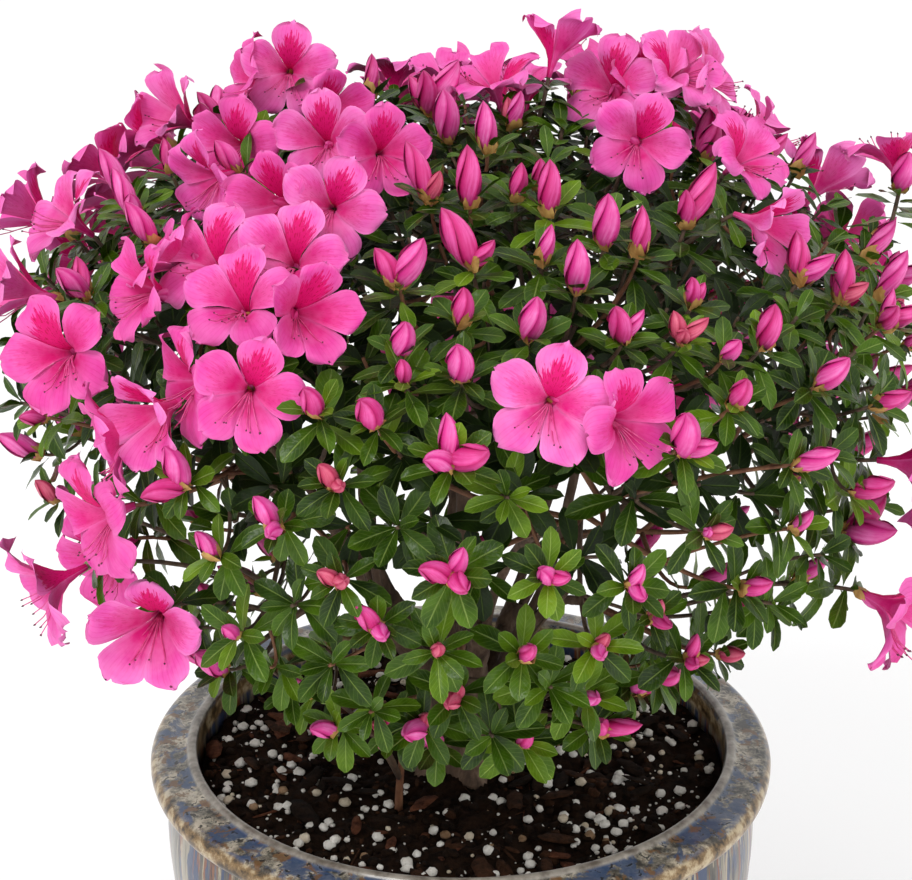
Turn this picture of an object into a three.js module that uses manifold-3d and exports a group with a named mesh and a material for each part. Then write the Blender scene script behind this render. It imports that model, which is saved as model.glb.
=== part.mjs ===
// An azalea shrub in bloom in a round glazed pot, in millimetres, +Z up.
// The origin is the centre of the pot's flat underside, and -Y is the shrub's front.
// Azimuths are degrees about +Z from the front, positive towards +X. Elevations are degrees
// on the crown, which is a flattened ball of shoot tips about a centre on the pot's axis.
import * as THREE from "three";
import { mergeVertices } from "three/addons/utils/BufferGeometryUtils.js";
import Module from "manifold-3d";

const wasm = await Module();
wasm.setup();

const CLEARANCE = 0.3; // gap left between pieces that meet
const SLIVER = 0.05; // edges and faces finer than this are closed up when shapes are joined
const SEED = 20011;
const GOLDEN_ANGLE = 137.508;

// Pot, outer then inner profile measured from its underside
const POT_HEIGHT = 240;
const RIM_RADIUS = 155;
const RIM_DEPTH = 14;
const MOUTH_RADIUS = 132;
const BODY_RADIUS = 147;
const FOOT_RADIUS = 104;
const POT_WALL = 14;
const POT_SIDES = 36;

// Soil, filled to a little below the rim and drawn up slightly to the stem
const SOIL_LEVEL = POT_HEIGHT - 17;
const SOIL_MOUND = 5;
const MOUND_RADIUS = 39;
const SOIL_RADIUS = MOUTH_RADIUS - 1.5;

// Stem and boughs
const STEM_BASE_RADIUS = 27;
const STEM_TOP_RADIUS = 20;
const STEM_HEIGHT = 24;
const STEM_LEAN = 3;
const ROOT_LOBES = 5;
const BOUGH_CIRCLE = 13.4; // the boughs' feet stand on this radius round the middle bough
const FIRST_BOUGH = 15; // azimuth
const BOUGH_RADIUS = 5.8;
const BOUGH_CLIMB = 0.45; // share of its rise that a bough climbs straight up
const MIDDLE_CLIMB = 60;
const FORK_RADIUS = 5.2;
const FORK_SPREAD = 40; // how far from the axis the boughs fork
const FORK_LEVEL = POT_HEIGHT + 68;
const FORK_SWAY = 5; // how far astray a fork may be
const BRANCH_RADIUS = 2.35;
const BRANCH_TIP_RADIUS = 2.2;
const BRANCH_CIRCLE = 2.9;
const FIRST_BRANCH = -60; // angle about the bough's end
const LIMB_SIDES = 5;
const LIMB_STEPS = 4;
const SPRING_LEVEL = POT_HEIGHT + 94; // branches reach half way from here to the crown

// Crown: the flattened ball on which the shoot tips lie
const CROWN_LEVEL = POT_HEIGHT + 213;
const CROWN_RADIUS = 208;
const CROWN_RISE = 108;
const CROWN_DROP = 165;
const FRONT_DROP = 22; // how much lower the crown hangs in front
const CROWN_FOOT = -66; // no shoots below this elevation
const SKIRT_TOP = -14; // below this elevation the shoots keep to the low masses
const LOBE_SPREAD = 24;
const FRONT_LOBE_SPREAD = 30;
const TIP_SPACING = 43;
const TIP_SWAY = 5;
const INNER_CROWN = 0.72; // size of the leafy layer inside, which has no bloom
const INNER_SPACING = 82;
const LATTICE = 300;
const UPWARD = 0.35; // how much the shoots turn up from the crown's outward direction

const MASS_SWAY = 3; // degrees by which a mass's heart may be astray
const RINGS = [
  { name: "low", count: 6, first: 0, elevation: -44 },
  { name: "middle", count: 6, first: 18, elevation: 0 },
  { name: "upper", count: 5, first: 24, elevation: 44 },
  { name: "top", count: 1, first: 0, elevation: 90 },
];

// Open trusses on the front half: azimuth, elevation, flowers, roll of the first flower
const TRUSSES = [
  [-80, 64, 2, 200],
  [-88, 50, 2, 240],
  [-45, 49, 2, 160],
  [-28, 62, 2, 30],
  [-24, 47, 1, 0],
  [-78, 30, 2, 250],
  [-40, 35, 3, 60],
  [-22, 30, 2, 90],
  [-29, 17, 2, 180],
  [-63, 17, 2, 200],
  [-46, 5, 1, 270],
  [-50, -9, 1, 250],
  [-64, -27, 2, 240],
  [-44, -35, 1, 200],
  [13, 18, 2, 80],
  [100, 80, 1, 90],
  [180, 66, 2, 90],
  [40, 62, 2, 90],
  [94, 64, 2, 80],
  [50, 45, 2, 60],
  [98, 32, 2, 90],
  [70, -5, 1, 90],
  [60, -38, 1, 120],
];
const BACK_BLOOM = 0.42; // share of the shoots behind that carry a truss
const BACK_SPREAD = 75; // how far round from the back they reach
const BACK_TOP = CROWN_LEVEL + 0.85 * CROWN_RISE;

// Leaves, buds and flowers, larger than life where they are fewer
const LEAVES = 5;
const LEAF_LENGTH = 38;
const LEAF_WIDTH = 18;
const LEAF_FITS = [[1, 0], [0.9, -18], [0.75, -32], [0.6, -10]]; // size and added tilt, tried in turn
const LEAF_TILT = 72; // from the shoot's own direction
const LEAF_DROOP = 0.12; // share of its length by which a leaf's tip bends back
const WHORL_RADIUS = 2.4;
const UNDER_FLOWER_TILT = 98;
const WHORL_THICKNESS = 4.4;
const BUD_LENGTH = 24;
const BUD_RADIUS = 5;
const BUD_SHARE = 0.78; // of the leafy shoots that carry buds
const PETALS = 5;
const FLOWER_RADIUS = 26;
const FLOWER_LENGTH = 30;
const FLOWER_TILT = 38;
const FLOWER_NECK = 0.35; // share of its length
const NECK_RADIUS = 2.4;
const THROAT = 0.5; // how deep its hollow goes, a share of its length from the foot
const PETAL_RIM = [[-36, 0.8, 0.5], [-17, 0.97, 1], [17, 0.97, 1]]; // angle, height, radius
const BLOOM_TURNS = [0, 45, -45, 90, -90, 135, -135, 180]; // tried in turn for room
const BLOOM_ROOM = 28; // least distance between the middles of two flowers
const BLOOM_TO_LEAF = 22;
const LEAF_ROOM = 11;
const FLOWER_MARGIN = 16; // least distance of a shoot from the edge of its mass's space
const LEAF_MARGIN = 7;
const FIRST_TWIG = 0.22; // share of the leader's length where the furthest shoot's twig leaves
const LAST_TWIG = 0.72;
const TWIG_BEND = 0.45;
const TWIG_RADIUS = 0.85;
const TWIG_TIP_RADIUS = 1;
const LIMB_ROOM = 3; // least distance from a limb's bark to a leaf, flower or twig
const WHORL_ROOM = 14; // and to the middle of a whorl

// Sucker, a shoot straight from the soil in front of the stem
const SUCKER_FOOT_AZIMUTH = -33;
const SUCKER_FOOT_RADIUS = 56;
const SUCKER_TIP_AZIMUTH = -20;
const SUCKER_TIP_RADIUS = 92;
const SUCKER_RISE = 50;

const rad = THREE.MathUtils.degToRad;
const lerp = THREE.MathUtils.lerp;
const vec = (x, y, z) => new THREE.Vector3(x, y, z);
const along = (from, direction, distance) => from.clone().addScaledVector(direction, distance);
const UP = vec(0, 0, 1);

// The same number from 0 to 1 each time for a key of whole numbers
function chance(...key) {
  let mixed = SEED;
  for (const part of key) {
    mixed = Math.imul(mixed ^ part, 0x85ebca6b);
    mixed = Math.imul(mixed ^ (mixed >>> 13), 0xc2b2ae35);
    mixed ^= mixed >>> 16;
  }
  return (mixed >>> 0) / 2 ** 32;
}
const sway = (amount, ...key) => amount * (2 * chance(...key) - 1);

function polar(azimuth, radius, level) {
  return vec(radius * Math.sin(rad(azimuth)), -radius * Math.cos(rad(azimuth)), level);
}

function onCrown(azimuth, elevation, scale = 1) {
  const drop = CROWN_DROP + FRONT_DROP * Math.max(0, Math.cos(rad(azimuth))) ** 2;
  const rise = Math.sin(rad(elevation)) * (elevation > 0 ? CROWN_RISE : drop);
  const radius = CROWN_RADIUS * Math.cos(rad(elevation));
  return polar(azimuth, scale * radius, CROWN_LEVEL + scale * rise);
}

// The way a shoot faces: out from the crown, never down, and turned up a little
function outward(point) {
  const facing = vec(point.x, point.y, 0).divideScalar(CROWN_RADIUS ** 2);
  facing.z = Math.max(0, point.z - CROWN_LEVEL) / CROWN_RISE ** 2;
  return facing.normalize().addScaledVector(UP, UPWARD).normalize();
}

// Two unit directions square to a third and to each other, the first of them level
function across(direction) {
  const seed = Math.abs(direction.z) > 0.95 ? vec(1, 0, 0) : UP;
  const level = vec(0, 0, 0).crossVectors(seed, direction).normalize();
  return [level, vec(0, 0, 0).crossVectors(direction, level)];
}

// The unit direction that leans from the given one by tilt, towards roll about it
function leaning(direction, tilt, roll) {
  const [level, other] = across(direction);
  return direction.clone().multiplyScalar(Math.cos(rad(tilt)))
    .addScaledVector(other, Math.sin(rad(tilt)) * Math.cos(rad(roll)))
    .addScaledVector(level, Math.sin(rad(tilt)) * Math.sin(rad(roll)));
}

// ---- Closed shapes ----

// The closed skin over a row of rings of points. The first and last rings are single points,
// and a ring may have fewer points than the next, which start beside each other.
function skin(rings) {
  const corners = rings.flat().flatMap((point) => point.toArray());
  const faces = [];
  let before = 0;
  for (let i = 1; i < rings.length; i++) {
    const [inner, outer] = [rings[i - 1].length, rings[i].length];
    const after = before + inner;
    const steps = Math.max(inner, outer);
    for (let k = 0; k < steps; k++) {
      const [a, a2] = [k, k + 1].map((step) => before + Math.floor((step * inner) / steps) % inner);
      const [b, b2] = [k, k + 1].map((step) => after + Math.floor((step * outer) / steps) % outer);
      if (b !== b2) faces.push(a, b2, b);
      if (a !== a2) faces.push(a, a2, b2);
    }
    before = after;
  }
  return new THREE.BufferGeometry()
    .setAttribute("position", new THREE.Float32BufferAttribute(corners, 3))
    .setIndex(faces);
}

// A ring of points about a centre, in the plane of two directions
function ringAbout(centre, [u, v], radius, count, first = 0) {
  return Array.from({ length: count }, (_, i) => {
    const turn = rad(first + (i * 360) / count);
    return along(along(centre, u, radius * Math.cos(turn)), v, radius * Math.sin(turn));
  });
}

// The rings of a tapering limb along a curve
function limbRings(curve, baseRadius, tipRadius, sides, steps) {
  const { normals, binormals } = curve.computeFrenetFrames(steps);
  return Array.from({ length: steps + 1 }, (_, i) => ringAbout(curve.getPointAt(i / steps),
    [normals[i], binormals[i]], lerp(baseRadius, tipRadius, i / steps), sides));
}

function limbShape(curve, baseRadius, tipRadius, sides, steps) {
  return skin([[curve.getPoint(0)], ...limbRings(curve, baseRadius, tipRadius, sides, steps),
    [curve.getPoint(1)]]);
}

function solid(geometry) {
  const bare = geometry.clone();
  bare.deleteAttribute("normal");
  bare.deleteAttribute("uv");
  const merged = mergeVertices(bare, 1e-4);
  return new wasm.Manifold(new wasm.Mesh({
    numProp: 3,
    vertProperties: merged.getAttribute("position").array,
    triVerts: new Uint32Array(merged.index.array),
  }));
}

// The pieces as one body, without the slivers, loose scraps and sealed hollows that joining
// can leave
function fused(pieces) {
  const joined = pieces.map(solid).reduce((all, piece) => all.add(piece)).simplify(SLIVER);
  const body = joined.decompose().reduce((most, one) => (one.volume() > most.volume() ? one : most));
  const mesh = body.getMesh();
  return new THREE.BufferGeometry()
    .setAttribute("position", new THREE.BufferAttribute(mesh.vertProperties, 3))
    .setIndex(new THREE.BufferAttribute(mesh.triVerts, 1));
}

// ---- Pot, soil and stem ----

function potShape() {
  const profile = [
    [0, 0], [FOOT_RADIUS - 4, 0], [FOOT_RADIUS, 4], [FOOT_RADIUS + 17, 45],
    [BODY_RADIUS - 9, 105], [BODY_RADIUS, 185], [BODY_RADIUS - 1, POT_HEIGHT - RIM_DEPTH - 5],
    [RIM_RADIUS - 1.5, POT_HEIGHT - RIM_DEPTH + 1], [RIM_RADIUS, POT_HEIGHT - 7],
    [RIM_RADIUS - 3.5, POT_HEIGHT - 2.5], [MOUTH_RADIUS + 2, POT_HEIGHT],
    [MOUTH_RADIUS, POT_HEIGHT - 2], [MOUTH_RADIUS + 1, 185],
    [BODY_RADIUS - 9 - POT_WALL, 105], [FOOT_RADIUS + 17 - POT_WALL, 45],
    [FOOT_RADIUS - 12, POT_WALL], [0, POT_WALL],
  ];
  return standing(profile, POT_SIDES);
}

function soilLevelAt(radius) {
  const share = (SOIL_RADIUS - radius) / (SOIL_RADIUS - MOUND_RADIUS);
  return SOIL_LEVEL + SOIL_MOUND * Math.min(1, share);
}

function soilShape() {
  const profile = [
    [0, POT_WALL + CLEARANCE], [FOOT_RADIUS - 13, POT_WALL + CLEARANCE],
    [FOOT_RADIUS + 16 - POT_WALL, 45], [BODY_RADIUS - 10 - POT_WALL, 105], [SOIL_RADIUS, 185],
    [SOIL_RADIUS, SOIL_LEVEL], [MOUND_RADIUS, SOIL_LEVEL + SOIL_MOUND],
    [0, SOIL_LEVEL + SOIL_MOUND],
  ];
  return standing(profile, POT_SIDES);
}

// A profile of [radius, level] pairs turned about +Z
function standing(profile, sides) {
  const points = profile.map(([radius, level]) => new THREE.Vector2(radius, level));
  return new THREE.LatheGeometry(points, sides).rotateX(Math.PI / 2);
}

function stemShape() {
  const foot = SOIL_LEVEL + SOIL_MOUND + CLEARANCE;
  const turned = standing([
    [0, foot], [STEM_BASE_RADIUS, foot], [lerp(STEM_TOP_RADIUS, STEM_BASE_RADIUS, 0.45), foot + 6],
    [STEM_TOP_RADIUS + 0.6, foot + 14], [STEM_TOP_RADIUS, foot + STEM_HEIGHT],
    [0, foot + STEM_HEIGHT],
  ], ROOT_LOBES * 4);
  const position = turned.getAttribute("position");
  for (let i = 0; i < position.count; i++) {
    const share = (position.getZ(i) - foot) / STEM_HEIGHT;
    const turn = Math.atan2(position.getY(i), position.getX(i));
    const flare = 1 + 0.16 * (1 - share) ** 2 * Math.cos(ROOT_LOBES * turn);
    position.setX(i, position.getX(i) * flare + STEM_LEAN * share);
    position.setY(i, position.getY(i) * flare);
  }
  return turned;
}
const STEM_TOP = vec(STEM_LEAN, 0, SOIL_LEVEL + SOIL_MOUND + CLEARANCE + STEM_HEIGHT);

// ---- Masses, and the limbs that carry them ----

function makeMasses() {
  const masses = RINGS.flatMap((ring, level) => Array.from({ length: ring.count }, (_, i) => {
    const front = ring.name === "low" && i === 0;
    const azimuth = ring.first + (i * 360) / ring.count + (front ? 0 : sway(MASS_SWAY, 1, level, i));
    const elevation = Math.min(90, ring.elevation + sway(MASS_SWAY, 2, level, i));
    const heart = onCrown(azimuth, elevation);
    return {
      name: ring.count > 1 ? `${ring.name}_${i + 1}` : ring.name,
      ring: ring.name, front, azimuth, heart, shoots: [],
      start: vec(0, 0, SPRING_LEVEL).lerp(heart, 0.5),
      out: heart.clone().sub(vec(0, 0, SPRING_LEVEL)).normalize(),
    };
  }));
  const heart = polar(SUCKER_TIP_AZIMUTH, SUCKER_TIP_RADIUS, POT_HEIGHT + SUCKER_RISE);
  const start = polar(SUCKER_FOOT_AZIMUTH, SUCKER_FOOT_RADIUS, soilLevelAt(SUCKER_FOOT_RADIUS - 3));
  masses.push({ name: "sucker", ring: "sucker", heart, start, out: UP, shoots: [] });
  return masses;
}

const turnBetween = (a, b) => Math.abs(((a - b + 540) % 360) - 180);

// The middle bough runs straight up to the top mass. Each other bough ends in a fork, from
// which one branch runs to each of its masses.
function makeLimbs(masses) {
  const limbs = [];
  const top = masses.find((mass) => mass.ring === "top");
  const middleFoot = along(STEM_TOP, UP, CLEARANCE);
  limbs.push({
    name: "bough_middle",
    curve: new THREE.CubicBezierCurve3(middleFoot, along(middleFoot, UP, MIDDLE_CLIMB),
      along(top.start, top.out, -MIDDLE_CLIMB), top.start),
    base: BOUGH_RADIUS, tip: BRANCH_TIP_RADIUS,
  });
  const boughs = RINGS[0].count;
  for (let k = 0; k < boughs; k++) {
    const azimuth = FIRST_BOUGH + (k * 360) / boughs;
    const foot = along(middleFoot, polar(azimuth, 1, 0), BOUGH_CIRCLE);
    const fork = polar(azimuth + sway(FORK_SWAY, 3, k), FORK_SPREAD + sway(FORK_SWAY, 4, k),
      FORK_LEVEL + sway(2 * FORK_SWAY, 5, k));
    const rising = along(foot, UP, BOUGH_CLIMB * (fork.z - foot.z));
    const curve = new THREE.QuadraticBezierCurve3(foot, rising, fork);
    limbs.push({ name: `bough_${k + 1}`, curve, base: BOUGH_RADIUS, tip: FORK_RADIUS });
    const carried = masses.filter((mass) => mass !== top && mass.ring !== "sucker"
      && boughs * turnBetween(mass.azimuth, azimuth) <= 180);
    addBranches(limbs, curve, azimuth, carried);
  }
  return limbs;
}

function addBranches(limbs, bough, azimuth, carried) {
  const end = bough.getPoint(1);
  const axis = bough.getTangent(1);
  const out = vec(0, 0, 0).crossVectors(polar(azimuth + 90, 1, 0), axis).normalize();
  const side = vec(0, 0, 0).crossVectors(axis, out);
  const feet = ringAbout(along(end, axis, CLEARANCE), [out, side], BRANCH_CIRCLE,
    Math.max(carried.length, 2), FIRST_BRANCH);
  carried.forEach((mass, i) => {
    const foot = feet[i];
    const reach = foot.distanceTo(mass.start) / 3;
    limbs.push({
      name: `branch_${mass.name}`,
      curve: new THREE.CubicBezierCurve3(foot, along(foot, axis, reach),
        along(mass.start, mass.out, -reach), mass.start),
      base: BRANCH_RADIUS, tip: BRANCH_TIP_RADIUS,
    });
  });
}

// ---- Shoots ----

function nearestMass(masses, point) {
  return masses.reduce((best, mass) =>
    (mass.heart.distanceTo(point) < best.heart.distanceTo(point) ? mass : best));
}

function wanted(masses, azimuth, elevation) {
  if (elevation < CROWN_FOOT) return false;
  if (elevation > SKIRT_TOP) return true;
  return masses.some((mass) => mass.ring === "low"
    && turnBetween(mass.azimuth, azimuth) < (mass.front ? FRONT_LOBE_SPREAD : LOBE_SPREAD));
}

// Places spread evenly over the crown by a spiral, each a little astray
function spread(masses, scale, spacing, taken) {
  const places = [];
  for (let i = 0; i < LATTICE; i++) {
    const azimuth = (i * GOLDEN_ANGLE) % 360;
    const elevation = THREE.MathUtils.radToDeg(Math.asin(1 - (2 * i + 1) / LATTICE));
    if (!wanted(masses, azimuth, elevation)) continue;
    const astray = vec(sway(TIP_SWAY, 6, i), sway(TIP_SWAY, 7, i), sway(TIP_SWAY, 8, i));
    const at = onCrown(azimuth, elevation, scale).add(astray);
    if ([...taken, ...places].some((one) => one.at.distanceTo(at) < spacing)) continue;
    places.push({ at, azimuth, i });
  }
  return places;
}

function makeShoots(masses) {
  const trusses = TRUSSES.map(([azimuth, elevation, flowers, roll]) =>
    ({ at: onCrown(azimuth, elevation), flowers, buds: 0, roll }));
  const outer = spread(masses, 1, TIP_SPACING, trusses).map(({ at, azimuth, i }) => {
    const behind = turnBetween(azimuth, 180) < BACK_SPREAD && at.z < BACK_TOP;
    const blooms = behind && chance(9, i) < BACK_BLOOM;
    const flowers = blooms ? 1 + Math.floor(2.4 * chance(10, i)) : 0;
    const buds = !blooms && chance(11, i) < BUD_SHARE ? 1 : 0;
    return { at, flowers, buds, roll: 360 * chance(13, i) };
  });
  const inner = spread(masses, INNER_CROWN, INNER_SPACING, []).map(({ at, i }) =>
    ({ at, flowers: 0, buds: 0, roll: 360 * chance(14, i) }));
  const sucker = { at: masses.at(-1).heart.clone(), flowers: 0, buds: 1, roll: 0 };
  for (const shoot of [sucker, ...trusses, ...outer, ...inner]) {
    const mass = nearestMass(masses, shoot.at);
    drawIn(shoot, mass, masses);
    shoot.aim = outward(shoot.at);
    mass.shoots.push(shoot);
  }
}

// Moves a shoot's tip in from the edge of its mass's space, further if it carries flowers
function drawIn(shoot, mass, masses) {
  const room = shoot.flowers ? FLOWER_MARGIN : LEAF_MARGIN;
  for (const other of masses) {
    if (other === mass) continue;
    const inside = marginTo(mass, other, shoot.at);
    if (inside < room) shoot.at.add(mass.heart.clone().sub(other.heart).setLength(room - inside));
  }
}

// A mass's first shoot is its leader: the stem runs to it, and the others' twigs branch off,
// but for any that would touch a limb
function layTwigs(mass, limbs) {
  mass.shoots.sort((a, b) => a.at.distanceTo(mass.heart) - b.at.distanceTo(mass.heart));
  const [leader, ...others] = mass.shoots;
  const start = along(mass.start, mass.out, CLEARANCE);
  const reach = start.distanceTo(leader.at) / 3;
  leader.twig = new THREE.CubicBezierCurve3(start, along(start, mass.out, reach),
    along(leader.at, leader.aim, -reach), leader.at);
  const furthest = Math.max(...mass.shoots.map((shoot) => shoot.at.distanceTo(leader.at)), 1);
  for (const shoot of others) {
    const share = lerp(LAST_TWIG, FIRST_TWIG, shoot.at.distanceTo(leader.at) / furthest);
    const from = leader.twig.getPointAt(share);
    const bend = from.distanceTo(shoot.at) * TWIG_BEND;
    shoot.twig = new THREE.QuadraticBezierCurve3(from, along(shoot.at, shoot.aim, -bend), shoot.at);
  }
  mass.shoots = mass.shoots.filter((shoot) => shoot === leader
    || (clearOfLimbs(shoot.at, limbs, WHORL_ROOM)
      && shoot.twig.getSpacedPoints(20).every((point) => clearOfLimbs(point, limbs))));
}

// ---- What a shoot carries ----

// One leaf's outline from the valley before it: valley, one side, tip, other side
function leafRim(shoot, frame, turn, allowed) {
  const radial = (degrees) => ringAbout(vec(0, 0, 0), frame, 1, 1, degrees)[0];
  const valley = along(shoot.at, radial(turn - 180 / LEAVES), WHORL_RADIUS);
  const fits = LEAF_FITS.map(([size, added]) => {
    const tilt = added + (shoot.flowers ? UNDER_FLOWER_TILT : LEAF_TILT);
    const out = radial(turn).multiplyScalar(Math.sin(rad(tilt)))
      .addScaledVector(shoot.aim, Math.cos(rad(tilt)));
    const middle = along(shoot.at, out, 0.6 * size * LEAF_LENGTH);
    const tip = along(along(shoot.at, out, size * LEAF_LENGTH), shoot.aim, -LEAF_DROOP * LEAF_LENGTH);
    const side = radial(turn + 90).multiplyScalar(size * LEAF_WIDTH / 2);
    return [middle.clone().sub(side), tip, middle.clone().add(side)];
  });
  const fit = fits.find((leaf) => allowed(leaf.flatMap((corner) =>
    [0.35, 0.7, 1].map((share) => shoot.at.clone().lerp(corner, share)))));
  return [valley, ...(fit ?? [])];
}

// A shoot is one form: its twig, a whorl of leaves, and its bud if it has one. A leaf that
// would leave the mass's space is smaller, or left out.
function shootShape(shoot, baseRadius, steps, allowed) {
  const { normals, binormals } = shoot.twig.computeFrenetFrames(steps);
  const frame = [normals[steps], binormals[steps]];
  const turns = Array.from({ length: LEAVES }, (_, k) => (k * 360) / LEAVES + 180 / LEAVES);
  const rings = [[shoot.twig.getPoint(0)],
    ...limbRings(shoot.twig, baseRadius, TWIG_TIP_RADIUS, 3, steps)];
  rings[steps + 1] = rings[steps + 1].map((point) => along(point, shoot.aim, -WHORL_THICKNESS / 2));
  rings.push(turns.flatMap((turn) => leafRim(shoot, frame, turn, allowed)));
  const above = (height) => along(shoot.at, shoot.aim, height);
  const crown = WHORL_THICKNESS / 2;
  if (shoot.flowers) rings.push(ringAbout(above(crown), frame, 2, 3), [above(crown + 1)]);
  else if (shoot.buds) {
    rings.push(ringAbout(above(crown), frame, 1.5, 3));
    rings.push(ringAbout(above(0.5 * BUD_LENGTH), frame, BUD_RADIUS, 3), [above(BUD_LENGTH)]);
  } else rings.push([above(crown)]);
  return skin(rings);
}

// A funnel of five petals. The rim runs valley, corner, corner round each blunt petal.
function flowerRings(shoot, k, turned) {
  const roll = shoot.roll + turned + (k * 360) / shoot.flowers;
  const axis = leaning(shoot.aim, FLOWER_TILT, roll);
  const frame = across(axis);
  const up = (share) => along(shoot.at, axis, share * FLOWER_LENGTH);
  const rim = Array.from({ length: PETALS }, (_, p) => {
    const turn = (p * 360) / PETALS;
    return PETAL_RIM.flatMap(([angle, height, share]) =>
      ringAbout(up(height), frame, share * FLOWER_RADIUS, 1, turn + angle));
  }).flat();
  const foot = along(shoot.at, shoot.aim, WHORL_THICKNESS / 2);
  const neck = ringAbout(up(FLOWER_NECK), frame, NECK_RADIUS, PETALS, -180 / PETALS);
  return [[foot], neck, rim, [up(THROAT)]];
}

// ---- Keeping apart ----

const middleOf = (points) => points.reduce((sum, point) => sum.add(point), vec(0, 0, 0))
  .divideScalar(points.length);

const clearOf = (things, point, room) => things.every((one) => one.middle.distanceTo(point) > room);

const clearOfLimbs = (point, limbs, room = LIMB_ROOM) => limbs.every((one) =>
  one.samples.every((sample) => sample.distanceTo(point) > one.base + room));

// How far a point is on a mass's own side of the plane half way to another mass's heart
function marginTo(mass, other, point) {
  const middle = mass.heart.clone().lerp(other.heart, 0.5);
  return middle.sub(point).dot(other.heart.clone().sub(mass.heart).normalize());
}

// A mass's space is every place nearer to its heart than to any other's
const inSpace = (mass, masses, point) => masses.every((other) =>
  other === mass || marginTo(mass, other, point) > CLEARANCE / 2);

// ---- Assembly ----

function massShape(mass, masses, limbs) {
  const blooms = [];
  const allowed = (points) => points.every((point) => point.z > POT_HEIGHT + 2
    && inSpace(mass, masses, point) && clearOfLimbs(point, limbs));
  for (const shoot of mass.shoots) {
    for (let k = 0; k < shoot.flowers; k++) {
      const rings = BLOOM_TURNS.map((turned) => flowerRings(shoot, k, turned))
        .find((one) => allowed(one[2]) && clearOf(blooms, middleOf(one[2]), BLOOM_ROOM));
      if (rings) blooms.push({ shape: skin(rings), middle: middleOf(rings[2]) });
    }
  }
  const leaves = [];
  const leafy = (points) => {
    const middle = middleOf(points);
    const fits = allowed(points) && clearOf(blooms, middle, BLOOM_TO_LEAF)
      && clearOf(leaves, middle, LEAF_ROOM);
    if (fits) leaves.push({ middle });
    return fits;
  };
  const shoots = mass.shoots.map((shoot, i) => (i
    ? shootShape(shoot, TWIG_RADIUS, 2, leafy)
    : shootShape(shoot, BRANCH_TIP_RADIUS, 3, leafy)));
  return fused([...shoots, ...blooms.map((bloom) => bloom.shape)]);
}

const colours = {
  pot: { color: 0x6d7684, roughness: 0.25, metalness: 0 },
  soil: { color: 0x2a1a12, roughness: 0.95, metalness: 0 },
  bark: { color: 0x4a3526, roughness: 0.85, metalness: 0 },
  foliage: { color: 0x3f7a2a, roughness: 0.55, metalness: 0 },
};
const group = new THREE.Group();
function place(name, geometry, look) {
  const mesh = new THREE.Mesh(geometry, new THREE.MeshStandardMaterial(colours[look]));
  mesh.name = name;
  group.add(mesh);
}

const masses = makeMasses();
const limbs = makeLimbs(masses);
for (const one of limbs) one.samples = one.curve.getSpacedPoints(60);
makeShoots(masses);
for (const mass of masses) layTwigs(mass, limbs);

place("pot", potShape(), "pot");
place("soil", soilShape(), "soil");
place("stem", stemShape(), "bark");
for (const one of limbs) {
  place(one.name, limbShape(one.curve, one.base, one.tip, LIMB_SIDES, LIMB_STEPS), "bark");
}
for (const mass of masses) place(`foliage_${mass.name}`, massShape(mass, masses, limbs), "foliage");

export default group;
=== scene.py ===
"""An azalea shrub in bloom in a glazed pot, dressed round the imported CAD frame.

Lengths are in millimetres until a mesh is made, and Blender's units are metres. The shrub's
front faces -Y. Azimuths are degrees about +Z from the front, positive towards +X.
"""
import functools
import math
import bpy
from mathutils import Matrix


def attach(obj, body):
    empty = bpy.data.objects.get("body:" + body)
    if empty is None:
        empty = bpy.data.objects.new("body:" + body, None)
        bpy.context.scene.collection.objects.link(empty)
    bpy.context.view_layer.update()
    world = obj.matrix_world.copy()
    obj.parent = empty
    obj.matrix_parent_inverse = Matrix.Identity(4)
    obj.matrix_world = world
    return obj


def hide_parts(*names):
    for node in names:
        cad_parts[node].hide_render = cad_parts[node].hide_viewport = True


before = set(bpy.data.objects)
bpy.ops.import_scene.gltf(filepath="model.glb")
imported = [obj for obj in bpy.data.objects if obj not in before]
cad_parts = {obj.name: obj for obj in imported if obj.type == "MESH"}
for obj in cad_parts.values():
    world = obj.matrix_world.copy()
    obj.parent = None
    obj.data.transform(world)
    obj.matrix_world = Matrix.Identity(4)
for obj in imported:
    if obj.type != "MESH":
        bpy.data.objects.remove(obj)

from types import SimpleNamespace

import bpy
import numpy as np

MM = 0.001
SEED = 20011
GOLDEN_ANGLE = 137.508
UP = np.array([0.0, 0.0, 1.0])
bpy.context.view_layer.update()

# Pot and soil
POT_HEIGHT = 240
POT_RADIUS = 155
POT_SIDES = 160
POT_PROFILE = [
    (0, 0), (99, 0), (102.6, 1.2), (104, 4), (107, 12), (112, 24), (121, 45), (130, 74), (138, 105),
    (143.5, 143), (147, 185), (147.3, 203), (146, 219), (146.6, 222.5), (150, 224.8), (153.6, 227),
    (155, 230), (154.7, 233.2), (152.6, 236), (149.5, 237.2), (144, 237.4), (138, 238),
    (136.2, 239.6), (134, 240), (132.4, 239.2), (132, 236), (132.3, 225), (133, 185), (124, 105),
    (107, 45), (92, 14), (0, 14),
]
SOIL_LEVEL = POT_HEIGHT - 17
SOIL_MOUND = 5
MOUND_RADIUS = 39
SOIL_RADIUS = 130.5
SOIL_SIDE = [(130.5, 185), (121, 105), (106, 45), (91, 14.3), (0.4, 14.3)]

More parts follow.
